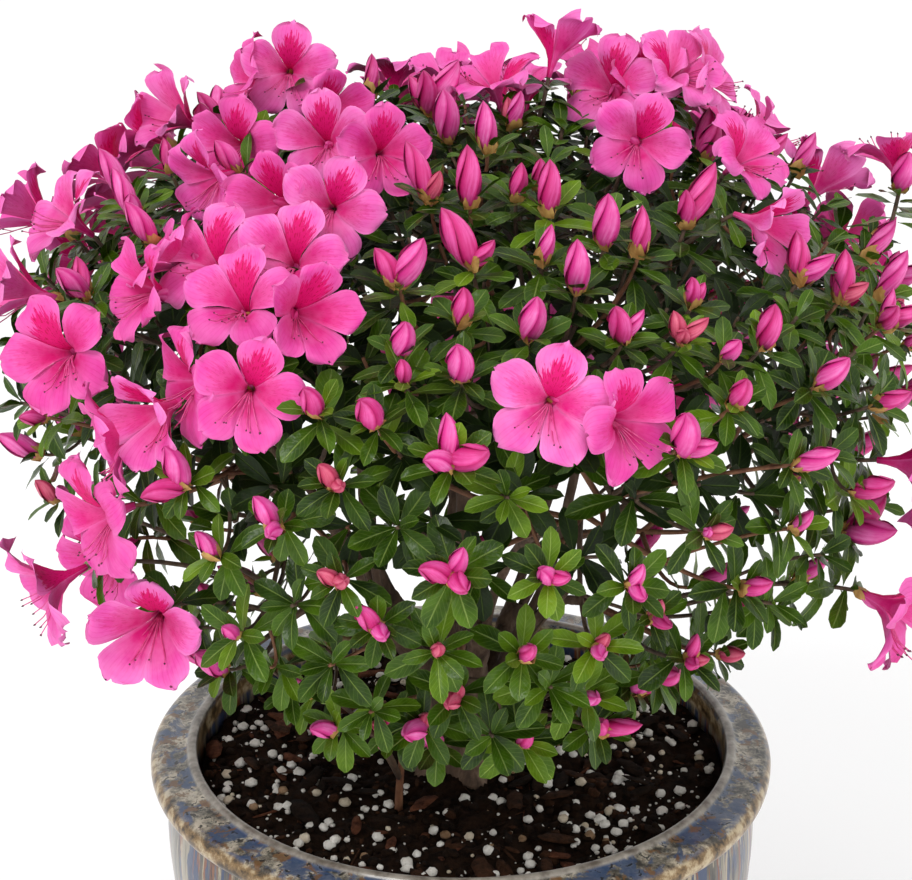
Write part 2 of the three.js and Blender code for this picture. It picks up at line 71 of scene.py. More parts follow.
# Stem and boughs
STEM_BASE_RADIUS = 27
STEM_TOP_RADIUS = 20
STEM_HEIGHT = 24
STEM_LEAN = 3
ROOT_LOBES = 5
BOUGH_CIRCLE = 13.4
FIRST_BOUGH = 15
BOUGH_RADIUS = 5.8
BOUGH_CLIMB = 0.45
MIDDLE_CLIMB = 60
FORK_RADIUS = 5.2
MAIN_TWIG_RADIUS = 1.5
FINE_TWIG_RADIUS = 0.9
FORK_SPREAD = 40
FORK_LEVEL = POT_HEIGHT + 68
FORK_SWAY = 5
BRANCH_RADIUS = 2.35
BRANCH_TIP_RADIUS = 2.2
BRANCH_CIRCLE = 2.9
FIRST_BRANCH = -60
SPRING_LEVEL = POT_HEIGHT + 94

# Crown
CROWN_LEVEL = POT_HEIGHT + 213
CROWN_RADIUS = 208
CROWN_RISE = 108
CROWN_DROP = 165
FRONT_DROP = 22
CROWN_FOOT = -66
SKIRT_TOP = -14
LOBE_SPREAD = 24
FRONT_LOBE_SPREAD = 30
TIP_SPACING = 43
TIP_SWAY = 5
LATTICE = 300
UPWARD = 0.35
MASS_SWAY = 3
RINGS = [("low", 6, 0, -44), ("middle", 6, 18, 0), ("upper", 5, 24, 44), ("top", 1, 0, 90)]
SUCKER_FOOT = (-33, 56)
SUCKER_TIP = (-20, 92, POT_HEIGHT + 50)

# Fine shoots between the masses' main ones
FINE_SPACING = 25
FINE_LATTICE = 2600
FINE_DEPTH = 14
BUDDING = 0.6  # share of the fine shoots that bear buds
FRONT_BUDDING = 0.3
THIN_BELOW = -4  # under this elevation the crown is open
THIN_SPACING = 31
# inner layers: share of the crown's reach, spacing, places tried, lowest elevation
INNER_FINE = [(0.87, 29, 1700, -14), (0.73, 37, 1100, -6), (0.56, 42, 600, 0)]

# Open flowers: azimuth and elevation on the crown, how far their faces stand out from it,
# then the azimuth and elevation they face
BLOOMS = [
    (-102, 68, 22, 0, 16), (-102, 62, 22, -75, 20), (-110, 48, 12, -62, 34),
    (-110, 40, 10, -95, 15), (-74, 60, 6, -25, 10), (-64, 54, 4, -50, -8), (-80, 73, 6, 34, 18),
    (-28, 70, 6, 12, 20), (-28, 56, 5, -4, 16), (-84, 32, 8, -70, 42), (-102, 18, 16, -100, 30),
    (-50, 40, 5, -95, 40), (-42, 42, 5, -40, 50), (-32, 36, 5, -16, 46), (-22, 36, 5, 28, 16),
    (-25, 20, 8, 0, 14), (-34, 20, 4, -60, 0), (-56, 16, 6, -22, 18), (-78, 18, 4, -75, 20),
    (-42, 6, 5, -75, -14), (-92, -36, 6, -70, -8), (-80, -38, 5, -40, -10), (-46, -30, 6, -8, 4),
    (-60, -32, 34, -62, -18), (10, 21, 6, -4, 14), (19, 17, 2, 40, 6), (110, 78, 30, 150, 64),
    (110, 86, 14, -60, 74), (110, 70, 12, -25, 38), (66, 66, 5, 0, 16),
    (110, 64, 16, -10, 52), (104, 62, 26, 40, 50), (108, 56, 26, 75, 25), (84, 52, 6, 52, 40),
    (56, 43, 9, 48, -6), (88, 32, 38, -150, 64), (68, -12, 14, 80, 0), (62, -42, 66, 60, -16),
    (-42, 56, 4, -25, 25), (-47, 32, 10, -60, 18), (-46, -10, 6, -50, -5), (-29, 46, 3, -10, 38),
    (-37, 13, 4, -40, -6), (-58, 70, 4, -10, 30),
]
# Shoots in front whose buds stand out: azimuth, elevation, buds, length of the longest
BUD_TIPS = [
    (-99, 86, 4, 28), (-95, 78, 1, 20), (13, 76, 1, 22), (50, 82, 2, 20), (20, 59, 1, 24), (27, 51, 1, 27),
    (18, 43, 1, 25), (9, 35, 1, 24), (0, 28, 1, 25), (-10, 19, 1, 24), (-10, 45, 2, 25),
    (2, 49, 2, 28), (14, 49, 1, 18), (-17, 20, 1, 21), (-8, 32, 1, 22), (-7, 27, 1, 12),
    (-1, 12, 3, 25), (-1, -8, 3, 24), (-33, 0, 2, 27), (-49, -3, 1, 27), (-21, -3, 2, 20),
    (-14, 6, 2, 15), (-14, -10, 2, 15), (-10, -17, 2, 20), (-3, -21, 1, 11), (10, -9, 2, 15),
    (20, -12, 2, 17), (17, -22, 2, 18), (34, -32, 3, 17), (29, -6, 2, 13), (37, -18, 1, 18),
    (26, 10, 2, 28), (34, 17, 1, 20), (22, 33, 2, 23), (30, 31, 3, 15), (35, 37, 2, 18),
    (35, 26, 1, 14), (47, 51, 2, 29), (42, 26, 1, 24), (42, 0, 1, 24), (48, 15, 1, 23),
    (57, 34, 2, 22), (62, 27, 2, 23), (98, 47, 2, 23), (105, 38, 1, 22), (69, 17, 3, 22),
    (59, 4, 1, 21), (66, -23, 2, 28), (2, 62, 1, 26), (-8, 63, 2, 27), (14, 63, 1, 17),
    (22, 65, 1, 16), (-60, 66, 2, 16), (-55, 34, 1, 27), (-62, 28, 2, 22), (-59, 42, 1, 25),
    (-72, 43, 2, 24), (-33, 43, 2, 18), (-17, 40, 1, 22), (-30, -24, 1, 12), (24, 18, 1, 20),
    (-70, -19, 1, 14), (52, -44, 1, 14), (32, 48, 1, 22), (52, 43, 1, 20), (0, 38, 1, 20),
]
FLOWER_CLEARANCE = 40
BUD_CLEARANCE = 24
FACE_DEPTH = 12
BACK_BLOOMS = 50
BACK_BLOOM_SPACING = 33
TRUSS_SPACING = 96  # between the middles of the flower clusters behind
TRUSS_RADIUS = 37
# behind: places tried, half the azimuths they take up, lowest elevation, range of elevations
TRUSS_PLACES = (400, 84, -34, 116)
BACK_PLACES = (6000, 70, -40, 125)


def rad(degrees):
    return math.radians(degrees)


def chance(*key):
    """The same number from 0 to 1 each time for a key of whole numbers"""
    mixed = SEED
    for part in key:
        mixed = ((mixed ^ part) * 0x85EBCA6B) & 0xFFFFFFFF
        mixed = ((mixed ^ (mixed >> 13)) * 0xC2B2AE35) & 0xFFFFFFFF
        mixed ^= mixed >> 16
    return mixed / 2**32


def sway(amount, *key):
    return amount * (2 * chance(*key) - 1)


def unit(v):
    return v / np.linalg.norm(v, axis=-1, keepdims=True)


def apart(a, b):
    return np.linalg.norm(a - b)


def polar(azimuth, radius, level):
    return np.array([radius * math.sin(rad(azimuth)), -radius * math.cos(rad(azimuth)), level])


def on_crown(azimuth, elevation, scale=1.0):
    drop = CROWN_DROP + FRONT_DROP * max(0, math.cos(rad(azimuth))) ** 2
    rise = math.sin(rad(elevation)) * (CROWN_RISE if elevation > 0 else drop)
    radius = CROWN_RADIUS * math.cos(rad(elevation))
    return polar(azimuth, scale * radius, CROWN_LEVEL + scale * rise)


def outward(point):
    """The way a shoot faces: out from the crown, never down, and turned up a little"""
    facing = np.array([point[0] / CROWN_RADIUS**2, point[1] / CROWN_RADIUS**2,
                       max(0, point[2] - CROWN_LEVEL) / CROWN_RISE**2])
    return unit(unit(facing) + UPWARD * UP)


def across(direction):
    """Two unit directions square to a third and to each other, the first of them level"""
    seed = np.array([1.0, 0, 0]) if abs(direction[2]) > 0.95 else UP
    level = unit(np.cross(seed, direction))
    return level, np.cross(direction, level)


def turned(a, b, turn):
    """A direction turned from a towards b, which are square to each other"""
    return math.cos(turn) * a + math.sin(turn) * b


def leaning(direction, tilt, roll):
    level, other = across(direction)
    return turned(direction, turned(other, level, rad(roll)), rad(tilt))


def circle(sides):
    return np.arange(sides) * math.tau / sides


def hoop(reach, turns, level, lean=0):
    """Points round an upright axis"""
    return np.stack([lean + reach * np.cos(turns), reach * np.sin(turns), np.full(len(turns), level)],
                    axis=1)


def bezier(controls, steps=16):
    """A Bezier curve's points, evenly spaced along it"""
    t = np.linspace(0, 1, 6 * steps + 1)[:, None]
    layers = [np.asarray(point)[None] for point in controls]
    while len(layers) > 1:
        layers = [(1 - t) * a + t * b for a, b in zip(layers, layers[1:])]
    return resampled(layers[0], steps)


def resampled(points, steps):
    run = np.concatenate([[0], np.cumsum(np.linalg.norm(np.diff(points, axis=0), axis=1))])
    even = np.linspace(0, run[-1], steps + 1)
    return np.stack([np.interp(even, run, points[:, i]) for i in range(3)], axis=1)


def turn_between(a, b):
    return abs((a - b + 540) % 360 - 180)


# ---- Meshes from arrays ----

class Shape:
    """One small mesh that is laid down many times: points, faces, a flat map and face slots"""

    def __init__(self, points, faces, flat=None, slots=None):
        self.points = np.asarray(points, float)
        self.faces = faces
        self.sizes = np.array([len(face) for face in faces])
        self.corners = np.concatenate([np.asarray(face) for face in faces])
        self.flat = np.zeros((len(self.points), 2)) if flat is None else np.asarray(flat, float)
        self.slots = np.zeros(len(faces), int) if slots is None else np.asarray(slots)


def grid_faces(rows, columns, closed=False):
    """Quads over rows of points, joined round from the last column to the first if closed"""
    faces = []
    for r in range(rows - 1):
        for c in range(columns if closed else columns - 1):
            a, d = r * columns, (c + 1) % columns
            faces.append((a + c, a + d, a + columns + d, a + columns + c))
    return faces


def end_faces(rows, sides):
    return [tuple(reversed(range(sides))), tuple(range((rows - 1) * sides, rows * sides))]


def merged(shapes):
    faces, count = [], 0
    for shape in shapes:
        faces += [tuple(count + corner for corner in face) for face in shape.faces]
        count += len(shape.points)
    return Shape(np.vstack([shape.points for shape in shapes]), faces,
                 np.vstack([shape.flat for shape in shapes]),
                 np.concatenate([shape.slots for shape in shapes]))


class Heap:
    """Many small shapes, joined into one mesh"""

    def __init__(self):
        self.points, self.corners, self.sizes, self.flats, self.slots = [], [], [], [], []
        self.count = 0

    def add(self, shape, places, slots):
        """Copies of a shape, given each copy's points, with a slot to add to each copy's own"""
        copies, size = places.shape[:2]
        offsets = self.count + size * np.arange(copies)[:, None]
        self.points.append(places.reshape(-1, 3))
        self.corners.append((shape.corners[None] + offsets).ravel())
        self.sizes.append(np.tile(shape.sizes, copies))
        self.flats.append(np.tile(shape.flat[shape.corners], (copies, 1)))
        self.slots.append((shape.slots[None] + np.asarray(slots)[:, None]).ravel())
        self.count += copies * size

    def lay(self, shape, origins, xs, ys, zs, sizes, slots):
        """Copies of a shape at origins, along three unit directions each"""
        basis = np.stack([xs, ys, zs], axis=1) * sizes[:, None, None]
        self.add(shape, origins[:, None] + shape.points @ basis, slots)

    def loft(self, rings, capped=False, inward=False):
        """A wall through rings of points, with its ends closed if capped"""
        faces = grid_faces(len(rings), len(rings[0]), closed=True)
        if capped:
            faces += end_faces(len(rings), len(rings[0]))
        if inward:
            faces = [tuple(reversed(face)) for face in faces]
        points = np.vstack(rings)
        self.add(Shape(points, faces), points[None], [0])

    def mesh(self, name):
        corners = np.concatenate(self.corners)
        sizes = np.concatenate(self.sizes)
        mesh = bpy.data.meshes.new(name)
        mesh.vertices.add(self.count)
        mesh.vertices.foreach_set("co", (np.concatenate(self.points) * MM).ravel())
        mesh.loops.add(len(corners))
        mesh.loops.foreach_set("vertex_index", corners)
        mesh.polygons.add(len(sizes))
        mesh.polygons.foreach_set("loop_start", np.concatenate([[0], np.cumsum(sizes)[:-1]]))
        mesh.polygons.foreach_set("material_index", np.concatenate(self.slots))
        mesh.polygons.foreach_set("use_smooth", np.ones(len(sizes), bool))
        flat = mesh.uv_layers.new(name="OFBake")
        flat.data.foreach_set("uv", np.concatenate(self.flats).ravel())
        mesh.update(calc_edges=True)
        mesh.validate()
        return mesh

    def piece(self, name, materials, slot, replaced=()):
        """The heap as one object that rides on the root and stands for CAD nodes"""
        made = bpy.data.objects.new(name, self.mesh(name))
        bpy.context.scene.collection.objects.link(made)
        for material in materials:
            made.data.materials.append(material)
        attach(made, "root")
        if replaced:
            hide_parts(*replaced)


class Copies:
    """Places for copies of a few shapes, gathered before they are laid down together"""

    def __init__(self, shapes):
        self.shapes = shapes
        self.rows = [[] for _ in shapes]

    def add(self, form, at, x, y, z, size, slot=0):
        self.rows[form].append((at, x, y, z, size, slot))

    def pour(self, heap):
        for shape, rows in zip(self.shapes, self.rows):
            if rows:
                heap.lay(shape, *(np.array(column) for column in zip(*rows)))
        return heap


def framed(points):
    """Directions square to a curve at each of its points, which turn with it but never twist"""
    along = unit(np.gradient(points, axis=0))
    side = across(along[0])[0]
    sides = []
    for direction in along:
        side = unit(side - direction * side.dot(direction))
        sides.append(side)
    sides = np.array(sides)
    return sides, np.cross(along, sides)


def tube_points(points, radii, sides):
    us, vs = framed(points)
    turns = circle(sides)
    rings = np.cos(turns)[None, :, None] * us[:, None] + np.sin(turns)[None, :, None] * vs[:, None]
    return points[:, None] + rings * radii[:, None, None]


@functools.cache
def tube_shape(rows, sides):
    """A tube's faces, with both ends closed"""
    faces = grid_faces(rows, sides, closed=True) + end_faces(rows, sides)
    return Shape(np.zeros((rows * sides, 3)), faces)


def add_tube(heap, rings, slot=0):
    heap.add(tube_shape(*rings.shape[:2]), rings.reshape(1, -1, 3), [slot])


# ---- Masses, limbs and shoots, by the source's rule ----

def make_masses():
    masses = []
    spring = np.array([0, 0, SPRING_LEVEL])
    for level, (ring, count, first, elevation) in enumerate(RINGS):
        for i in range(count):
            front = ring == "low" and i == 0
            azimuth = first + i * 360 / count + (0 if front else sway(MASS_SWAY, 1, level, i))
            heart = on_crown(azimuth, min(90, elevation + sway(MASS_SWAY, 2, level, i)))
            name = f"{ring}_{i + 1}" if count > 1 else ring
            masses.append(SimpleNamespace(name=name, ring=ring, front=front, azimuth=azimuth, heart=heart,
                                          start=(spring + heart) / 2, out=unit(heart - spring), shoots=[]))
    foot = polar(*SUCKER_FOOT, SOIL_LEVEL + SOIL_MOUND * 0.8)
    masses.append(SimpleNamespace(name="sucker", ring="sucker", front=False, azimuth=SUCKER_TIP[0],
                                  heart=polar(*SUCKER_TIP), start=foot, out=UP, shoots=[]))
    return masses


def make_limbs(masses):
    """Each limb's name, curve and radii at its base and tip"""
    top = next(mass for mass in masses if mass.ring == "top")
    foot = np.array([STEM_LEAN, 0, SOIL_LEVEL + SOIL_MOUND + 0.3 + STEM_HEIGHT])
    sunk = foot - 4 * UP
    limbs = [("bough_middle", bezier([sunk, foot + MIDDLE_CLIMB * UP,
              top.start - MIDDLE_CLIMB * top.out, top.start]), BOUGH_RADIUS, BRANCH_TIP_RADIUS)]
    boughs = RINGS[0][1]
    for k in range(boughs):
        azimuth = FIRST_BOUGH + k * 360 / boughs
        start = sunk + polar(azimuth, BOUGH_CIRCLE, 0)
        fork = polar(azimuth + sway(FORK_SWAY, 3, k), FORK_SPREAD + sway(FORK_SWAY, 4, k),
                     FORK_LEVEL + sway(2 * FORK_SWAY, 5, k))
        curve = bezier([start, start + UP * BOUGH_CLIMB * (fork[2] - start[2]), fork])
        limbs.append((f"bough_{k + 1}", curve, BOUGH_RADIUS, FORK_RADIUS))
        axis = unit(curve[-1] - curve[-2])
        carried = [mass for mass in masses if mass.ring not in ("top", "sucker")
                   and boughs * turn_between(mass.azimuth, azimuth) <= 180]
        out = unit(np.cross(polar(azimuth + 90, 1, 0), axis))
        side = np.cross(axis, out)
        for i, mass in enumerate(carried):
            turn = rad(FIRST_BRANCH + i * 360 / max(len(carried), 2))
            at = fork + BRANCH_CIRCLE * turned(out, side, turn)
            reach = apart(mass.start, at) / 3
            limbs.append((f"branch_{mass.name}", bezier([at - 6 * axis, at + reach * axis,
                          mass.start - reach * mass.out, mass.start]),
                          BRANCH_RADIUS, BRANCH_TIP_RADIUS))
    return limbs


def wanted(masses, azimuth, elevation):
    if elevation < CROWN_FOOT:
        return False
    if elevation > SKIRT_TOP:
        return True
    return any(mass.ring == "low" and turn_between(mass.azimuth, azimuth)
               < (FRONT_LOBE_SPREAD if mass.front else LOBE_SPREAD) for mass in masses)


def spread(masses, scale, spacing, lattice, taken, key=0, low_spacing=None, foot=-90):
    """Places spread evenly over the crown by a spiral, each a little astray"""
    found = np.array(taken).reshape(-1, 3)
    places = []
    for i in range(lattice):
        azimuth = i * GOLDEN_ANGLE % 360
        elevation = math.degrees(math.asin(1 - (2 * i + 1) / lattice))
        if elevation < foot or not wanted(masses, azimuth, elevation):
            continue
        astray = np.array([sway(TIP_SWAY, axis + key, i) for axis in (6, 7, 8)])
        at = on_crown(azimuth, elevation, scale) + astray
        room = low_spacing if low_spacing and elevation < THIN_BELOW else spacing
        if not len(found) or np.min(np.linalg.norm(found - at, axis=1)) >= room:
            found = np.vstack([found, at])
            places.append(at)
    return places


def nearest_mass(masses, point):
    return min(masses, key=lambda mass: apart(mass.heart, point))


def new_shoot(at, kind, key):
    return SimpleNamespace(at=at, aim=outward(at), kind=kind, key=key, buds=None)


def lay_main_twigs(mass):
    """A mass's shoot nearest its heart is its leader, and the others' twigs branch off it"""
    mass.shoots.sort(key=lambda shoot: apart(shoot.at, mass.heart))
    leader, *others = mass.shoots
    reach = apart(leader.at, mass.start) / 3
    leader.twig = bezier([mass.start - 5 * mass.out, mass.start + reach * mass.out,
                          leader.at - reach * leader.aim, leader.at])
    leader.thick = BRANCH_TIP_RADIUS
    furthest = max([apart(shoot.at, leader.at) for shoot in others] + [1])
    for shoot in others:
        share = 0.72 - 0.5 * apart(shoot.at, leader.at) / furthest
        branch_off(shoot, leader.twig, share, MAIN_TWIG_RADIUS)


def branch_off(shoot, stem, share, thick):
    start = stem[round(share * (len(stem) - 1))]
    bend = 0.45 * apart(shoot.at, start)
    shoot.twig = bezier([start, shoot.at - bend * shoot.aim, shoot.at], 10)
    shoot.thick = thick


def facing(azimuth, elevation):
    return polar(azimuth, math.cos(rad(elevation)), math.sin(rad(elevation)))


def veils(blooms, at, clearance):
    """Whether a shoot's tip at this place would stand before an open flower's face"""
    return any(apart(at, place) < clearance and (at - place).dot(axis) > -FACE_DEPTH
               for place, axis in blooms)


def nearest(at, places):
    return min([apart(at, place) for place in places], default=math.inf)


def places_behind(count, half_width, lowest, rise, key):
    """Azimuths and elevations tried behind, each with its number"""
    for i in range(count):
        yield i, 180 + sway(half_width, key, i), lowest + rise * chance(key + 1, i) ** 0.8


def back_blooms(masses, blooms):
    """Adds flowers behind, in clusters, by their faces' middles and the ways they face"""
    hearts = []
    for _, azimuth, elevation in places_behind(*TRUSS_PLACES, key=46):
        at = on_crown(azimuth, elevation)
        if nearest(at, hearts) > TRUSS_SPACING:
            hearts.append(at)
    full = len(blooms) + BACK_BLOOMS
    for i, azimuth, elevation in places_behind(*BACK_PLACES, key=41):
        at = on_crown(azimuth, elevation)
        if (len(blooms) < full and wanted(masses, azimuth, elevation)
                and nearest(at, hearts) <= TRUSS_RADIUS
                and nearest(at, [place for place, _ in blooms]) >= BACK_BLOOM_SPACING):
            faces = facing(azimuth + sway(40, 44, i), min(88, 30 * chance(45, i) + max(0, elevation)))
            blooms.append((at + (4 + 8 * chance(48, i)) * outward(at), faces))


def bloom_shoots(masses):
    """The open flowers' shoots, which end at the flower's foot and aim the way it faces"""
    blooms = []
    for azimuth, elevation, lift, *faces in BLOOMS:
        at = on_crown(azimuth, elevation)
        blooms.append((at + lift * outward(at), facing(*faces)))
    back_blooms(masses, blooms)
    shoots = []
    for i, (at, axis) in enumerate(blooms):
        shoot = new_shoot(at - FLOWER_SINK * axis, "flower", i)
        shoot.axis = axis
        shoot.aim = unit(axis + outward(at))
        shoots.append(shoot)
    return shoots


def make_shoots(masses):
    """Each mass's main shoots and the fine ones between and inside them, with their twigs"""
    blooms = bloom_shoots(masses)
    faces = [shoot.at + FLOWER_SINK * shoot.axis for shoot in blooms]
    facings = list(zip(faces, [shoot.axis for shoot in blooms]))
    budded = []
    for i, (azimuth, elevation, count, longest) in enumerate(BUD_TIPS):
        at = on_crown(azimuth, elevation)
        if not veils(facings, at, BUD_CLEARANCE):
            shoot = new_shoot(at, "bud", 500 + i)
            shoot.buds = (count, longest)
            budded.append(shoot)
    taken = faces + [shoot.at for shoot in budded]
    main = [new_shoot(at, "bud", 1000 + i)
            for i, at in enumerate(spread(masses, 1, TIP_SPACING, LATTICE, taken))]
    sucker = new_shoot(polar(*SUCKER_TIP), "sucker", 999)
    for shoot in [*blooms, *budded, *main, sucker]:
        nearest_mass(masses, shoot.at).shoots.append(shoot)
    for mass in masses:
        lay_main_twigs(mass)
    main_shoots = [shoot for mass in masses for shoot in mass.shoots]
    fine = []
    taken = faces + [shoot.at for shoot in main_shoots]
    for at in spread(masses, 1, FINE_SPACING, FINE_LATTICE, taken, key=20, low_spacing=THIN_SPACING):
        key = 2000 + len(fine)
        budding = FRONT_BUDDING if at[1] < -40 else BUDDING
        at = at - outward(at) * FINE_DEPTH * chance(21, key) ** 2
        if not veils(facings, at, FLOWER_CLEARANCE):
            fine.append(new_shoot(at, "bud" if chance(22, key) < budding else "leaf", key))
    for layer, (scale, spacing, lattice, foot) in enumerate(INNER_FINE):
        for at in spread(masses, scale, spacing, lattice, [], key=30 + 10 * layer, foot=foot):
            fine.append(new_shoot(at, "inner", 5000 * (layer + 1) + len(fine)))
    places = np.array([shoot.at for shoot in main_shoots])
    for shoot in fine:
        host = main_shoots[np.argmin(np.linalg.norm(places - shoot.at, axis=1))]
        branch_off(shoot, host.twig, 0.35 + 0.5 * chance(23, shoot.key), FINE_TWIG_RADIUS)
    return main_shoots + fine


# ---- Leaves ----

LEAF_LENGTH = 25
LEAF_FORMS = [
    # half width, droop of the tip, fold along the midrib, twist, wave
    (5.4, 3.0, 0.9, 0.0, 0.3),
    (5.0, 5.0, 1.3, 0.5, 0.5),
    (5.8, 1.0, 0.6, -0.4, 0.6),
    (4.7, 2.2, 1.6, 0.8, 0.4),
]
# along a leaf: share of the way, share of its width
LEAF_OUTLINE = [(0, 0.12), (0.13, 0.34), (0.33, 0.70), (0.53, 0.95), (0.70, 1), (0.88, 0.76), (1, 0.12)]
LEAF_COLUMNS = [-1, -0.5, 0, 0.5, 1]
YOUNG, INNER_SHADE = 2, 3  # tones of leaf, after dark and middling: young, and a darker one that is painted shade for the leaves inside the crown
NEXT_TONE = [1, 2, 0, 0]  # the tone that some leaves of a whorl take in place of its own
NEXT_SHARE = 0.28
TILES = 4  # the flat map is split into this many tiles each way
TILE_MARGIN = 0.03


def tile(places, column, row):
    """Places in a unit square, set inside one tile of the flat map"""
    return (np.array([column, row]) + TILE_MARGIN + (1 - 2 * TILE_MARGIN) * np.asarray(places)) / TILES


def sheet(rows, columns, place, *on_tile):
    """A thin surface on one tile of the flat map, by a rule for each row and each place across it"""
    points = [place(*row, c) for row in rows for c in columns]
    flat = [(0.5 + 0.5 * c, row[0]) for row in rows for c in columns]
    return Shape(points, grid_faces(len(rows), len(columns)), tile(flat, *on_tile))


def leaf_shape(form):
    """A leaf that runs along +Y with its upper face to +Z, in units of its own length"""
    half_width, droop, fold, twist, wave = LEAF_FORMS[form]

    def place(station, width, c):
        z = fold * abs(c) * width - droop * station**2 + 0.8 * math.sin(2.6 * station)
        z += wave * math.sin(9 * station + 2 * form) * c * abs(c) + twist * c * station
        return np.array([c * half_width * width, LEAF_LENGTH * station, z]) / LEAF_LENGTH

    return sheet(LEAF_OUTLINE, LEAF_COLUMNS, place, form, 0)


LEAF_SHAPES = [leaf_shape(form) for form in range(len(LEAF_FORMS))]


def add_whorl(leaves, at, aim, count, size, key, spacing, tilts, tone):
    """Leaves round a shoot's tip, the upper ones smaller and more upright"""
    level, other = across(aim)
    first = 360 * chance(51, key)
    for j in range(count):
        share = (j + 0.5) / count
        radial = turned(other, level, rad(first + j * GOLDEN_ANGLE + sway(12, 52, key, j)))
        tilt = rad(tilts[0] + (tilts[1] - tilts[0]) * share**0.8 + sway(9, 53, key, j))
        along = turned(aim, radial, tilt)
        upper = math.sin(tilt) * aim - math.cos(tilt) * radial + 0.55 * UP
        upper = unit(upper - along * upper.dot(along))
        upper = turned(upper, np.cross(along, upper), rad(sway(16, 54, key, j)))
        root = at - aim * (0.5 + spacing * j * (1 + 0.8 * share)) + 0.8 * radial
        length = size * LEAF_LENGTH * (0.66 + 0.38 * share**0.7) * (1 + sway(0.13, 55, key, j))
        form = int(len(LEAF_SHAPES) * chance(56, key, j))
        shade = tone if chance(57, key, j) < 1 - NEXT_SHARE else NEXT_TONE[tone]
        leaves.add(form, root, np.cross(along, upper), along, upper, length, shade)


# ---- Buds ----

BUD_ROWS = 10
BUD_STRIPS = 4
BUD_COLUMNS = 5
# along a scale: share of the way, half width, distance out from the bud's middle
SCALE_ROWS = [(0, 0.30, 0.20), (0.35, 0.40, 0.36), (0.7, 0.27, 0.40), (1.0, 0.02, 0.38)]
SCALES = 6


def bud_strip(k, twist, fatness):
    """One of the petals wound about a bud, which laps over the next"""
    points, flat = [], []
    for r in range(BUD_ROWS):
        v = r / (BUD_ROWS - 1)
        radius = fatness * max(0.012, (0.1 + v) ** 0.72 * (1 - v) ** 0.8 / 0.404)
        for c in range(BUD_COLUMNS):
            share = c / (BUD_COLUMNS - 1)
            turn = math.tau * (k + 1.22 * share) / BUD_STRIPS + math.tau * twist * v
            reach = radius * (0.82 + 0.24 * share**1.3)
            points.append((reach * math.cos(turn), reach * math.sin(turn), v))
            flat.append((share, v))
    return Shape(points, grid_faces(BUD_ROWS, BUD_COLUMNS), tile(flat, 0, 1))


def bud_shape(twist, fatness):
    """A furled bud along +Z, one unit long"""
    return merged([bud_strip(k, twist, fatness) for k in range(BUD_STRIPS)])


def scale_shape():
    """A small pointed scale that hugs a bud's foot, one unit long along +Z and facing +X"""
    return sheet(SCALE_ROWS, (-1, 0, 1), lambda v, width, out, c: (out - 0.10 * abs(c), c * width, v), 1, 1)


BUD_SHAPES = [bud_shape(0.22, 0.225), bud_shape(0.30, 0.19), bud_shape(0.18, 0.275)]
SCALE_SHAPES = [scale_shape()]


def add_bud(buds, scales, at, aim, length, form, tone, key):
    """A bud with scales round its foot, every other one larger and lower"""
    level, other = across(aim)
    first = math.tau * chance(61, key)
    x = turned(level, other, first)
    buds.add(form, at, x, np.cross(aim, x), aim, length, tone)
    foot = 0.44 * min(length, 20)
    for k in range(SCALES):
        x = turned(level, other, first + math.tau * k / SCALES)
        size = foot * (0.75 + 0.4 * (k % 2) + sway(0.12, 62, key, k))
        scales.add(0, at - (0.6 + k % 2) * aim, x, np.cross(aim, x), aim, size, k % 2)


# ---- Flowers ----

PETAL_KINDS = (0, 1, 2, 2, 1)  # round a flower: the blotched petal, those beside it, the others
FLOWER_FORMS = 4
FLOWER_SINK = 16  # from a flower's foot to the middle of its face
# along the middle of a petal: share of the way, radius, height, half the angle it takes up
PETAL_ROWS = [
    (0, 0.2, -0.4, 36), (0.02, 1.4, 0, 36), (0.11, 1.8, 4.5, 36), (0.22, 3.0, 9.5, 36),
    (0.33, 5.6, 14, 36.5), (0.44, 10, 17.2, 37), (0.54, 15, 19.0, 37), (0.66, 20, 19.4, 34.8),
    (0.73, 22.4, 19.1, 32.4), (0.80, 24.5, 18.6, 29), (0.87, 26.4, 17.8, 24.5),
    (0.93, 27.9, 17.0, 18.5), (0.97, 28.8, 16.4, 12), (1.0, 29.3, 16.0, 5),
]
PETAL_COLUMNS = 9
CUPPED = [0.10, 0.22, 0.65, 0.32]  # how far each form of flower is from lying open
STAMENS = 6
THREAD_STEPS = 6
THREAD_SIDES = 3
KNOB = np.array([(1, 0, 0), (0, 1, 0), (-1, 0, 0), (0, -1, 0), (0, 0, 1), (0, 0, -1)])
KNOB_FACES = [(0, 1, 4), (1, 2, 4), (2, 3, 4), (3, 0, 4), (1, 0, 5), (2, 1, 5), (3, 2, 5), (0, 3, 5)]


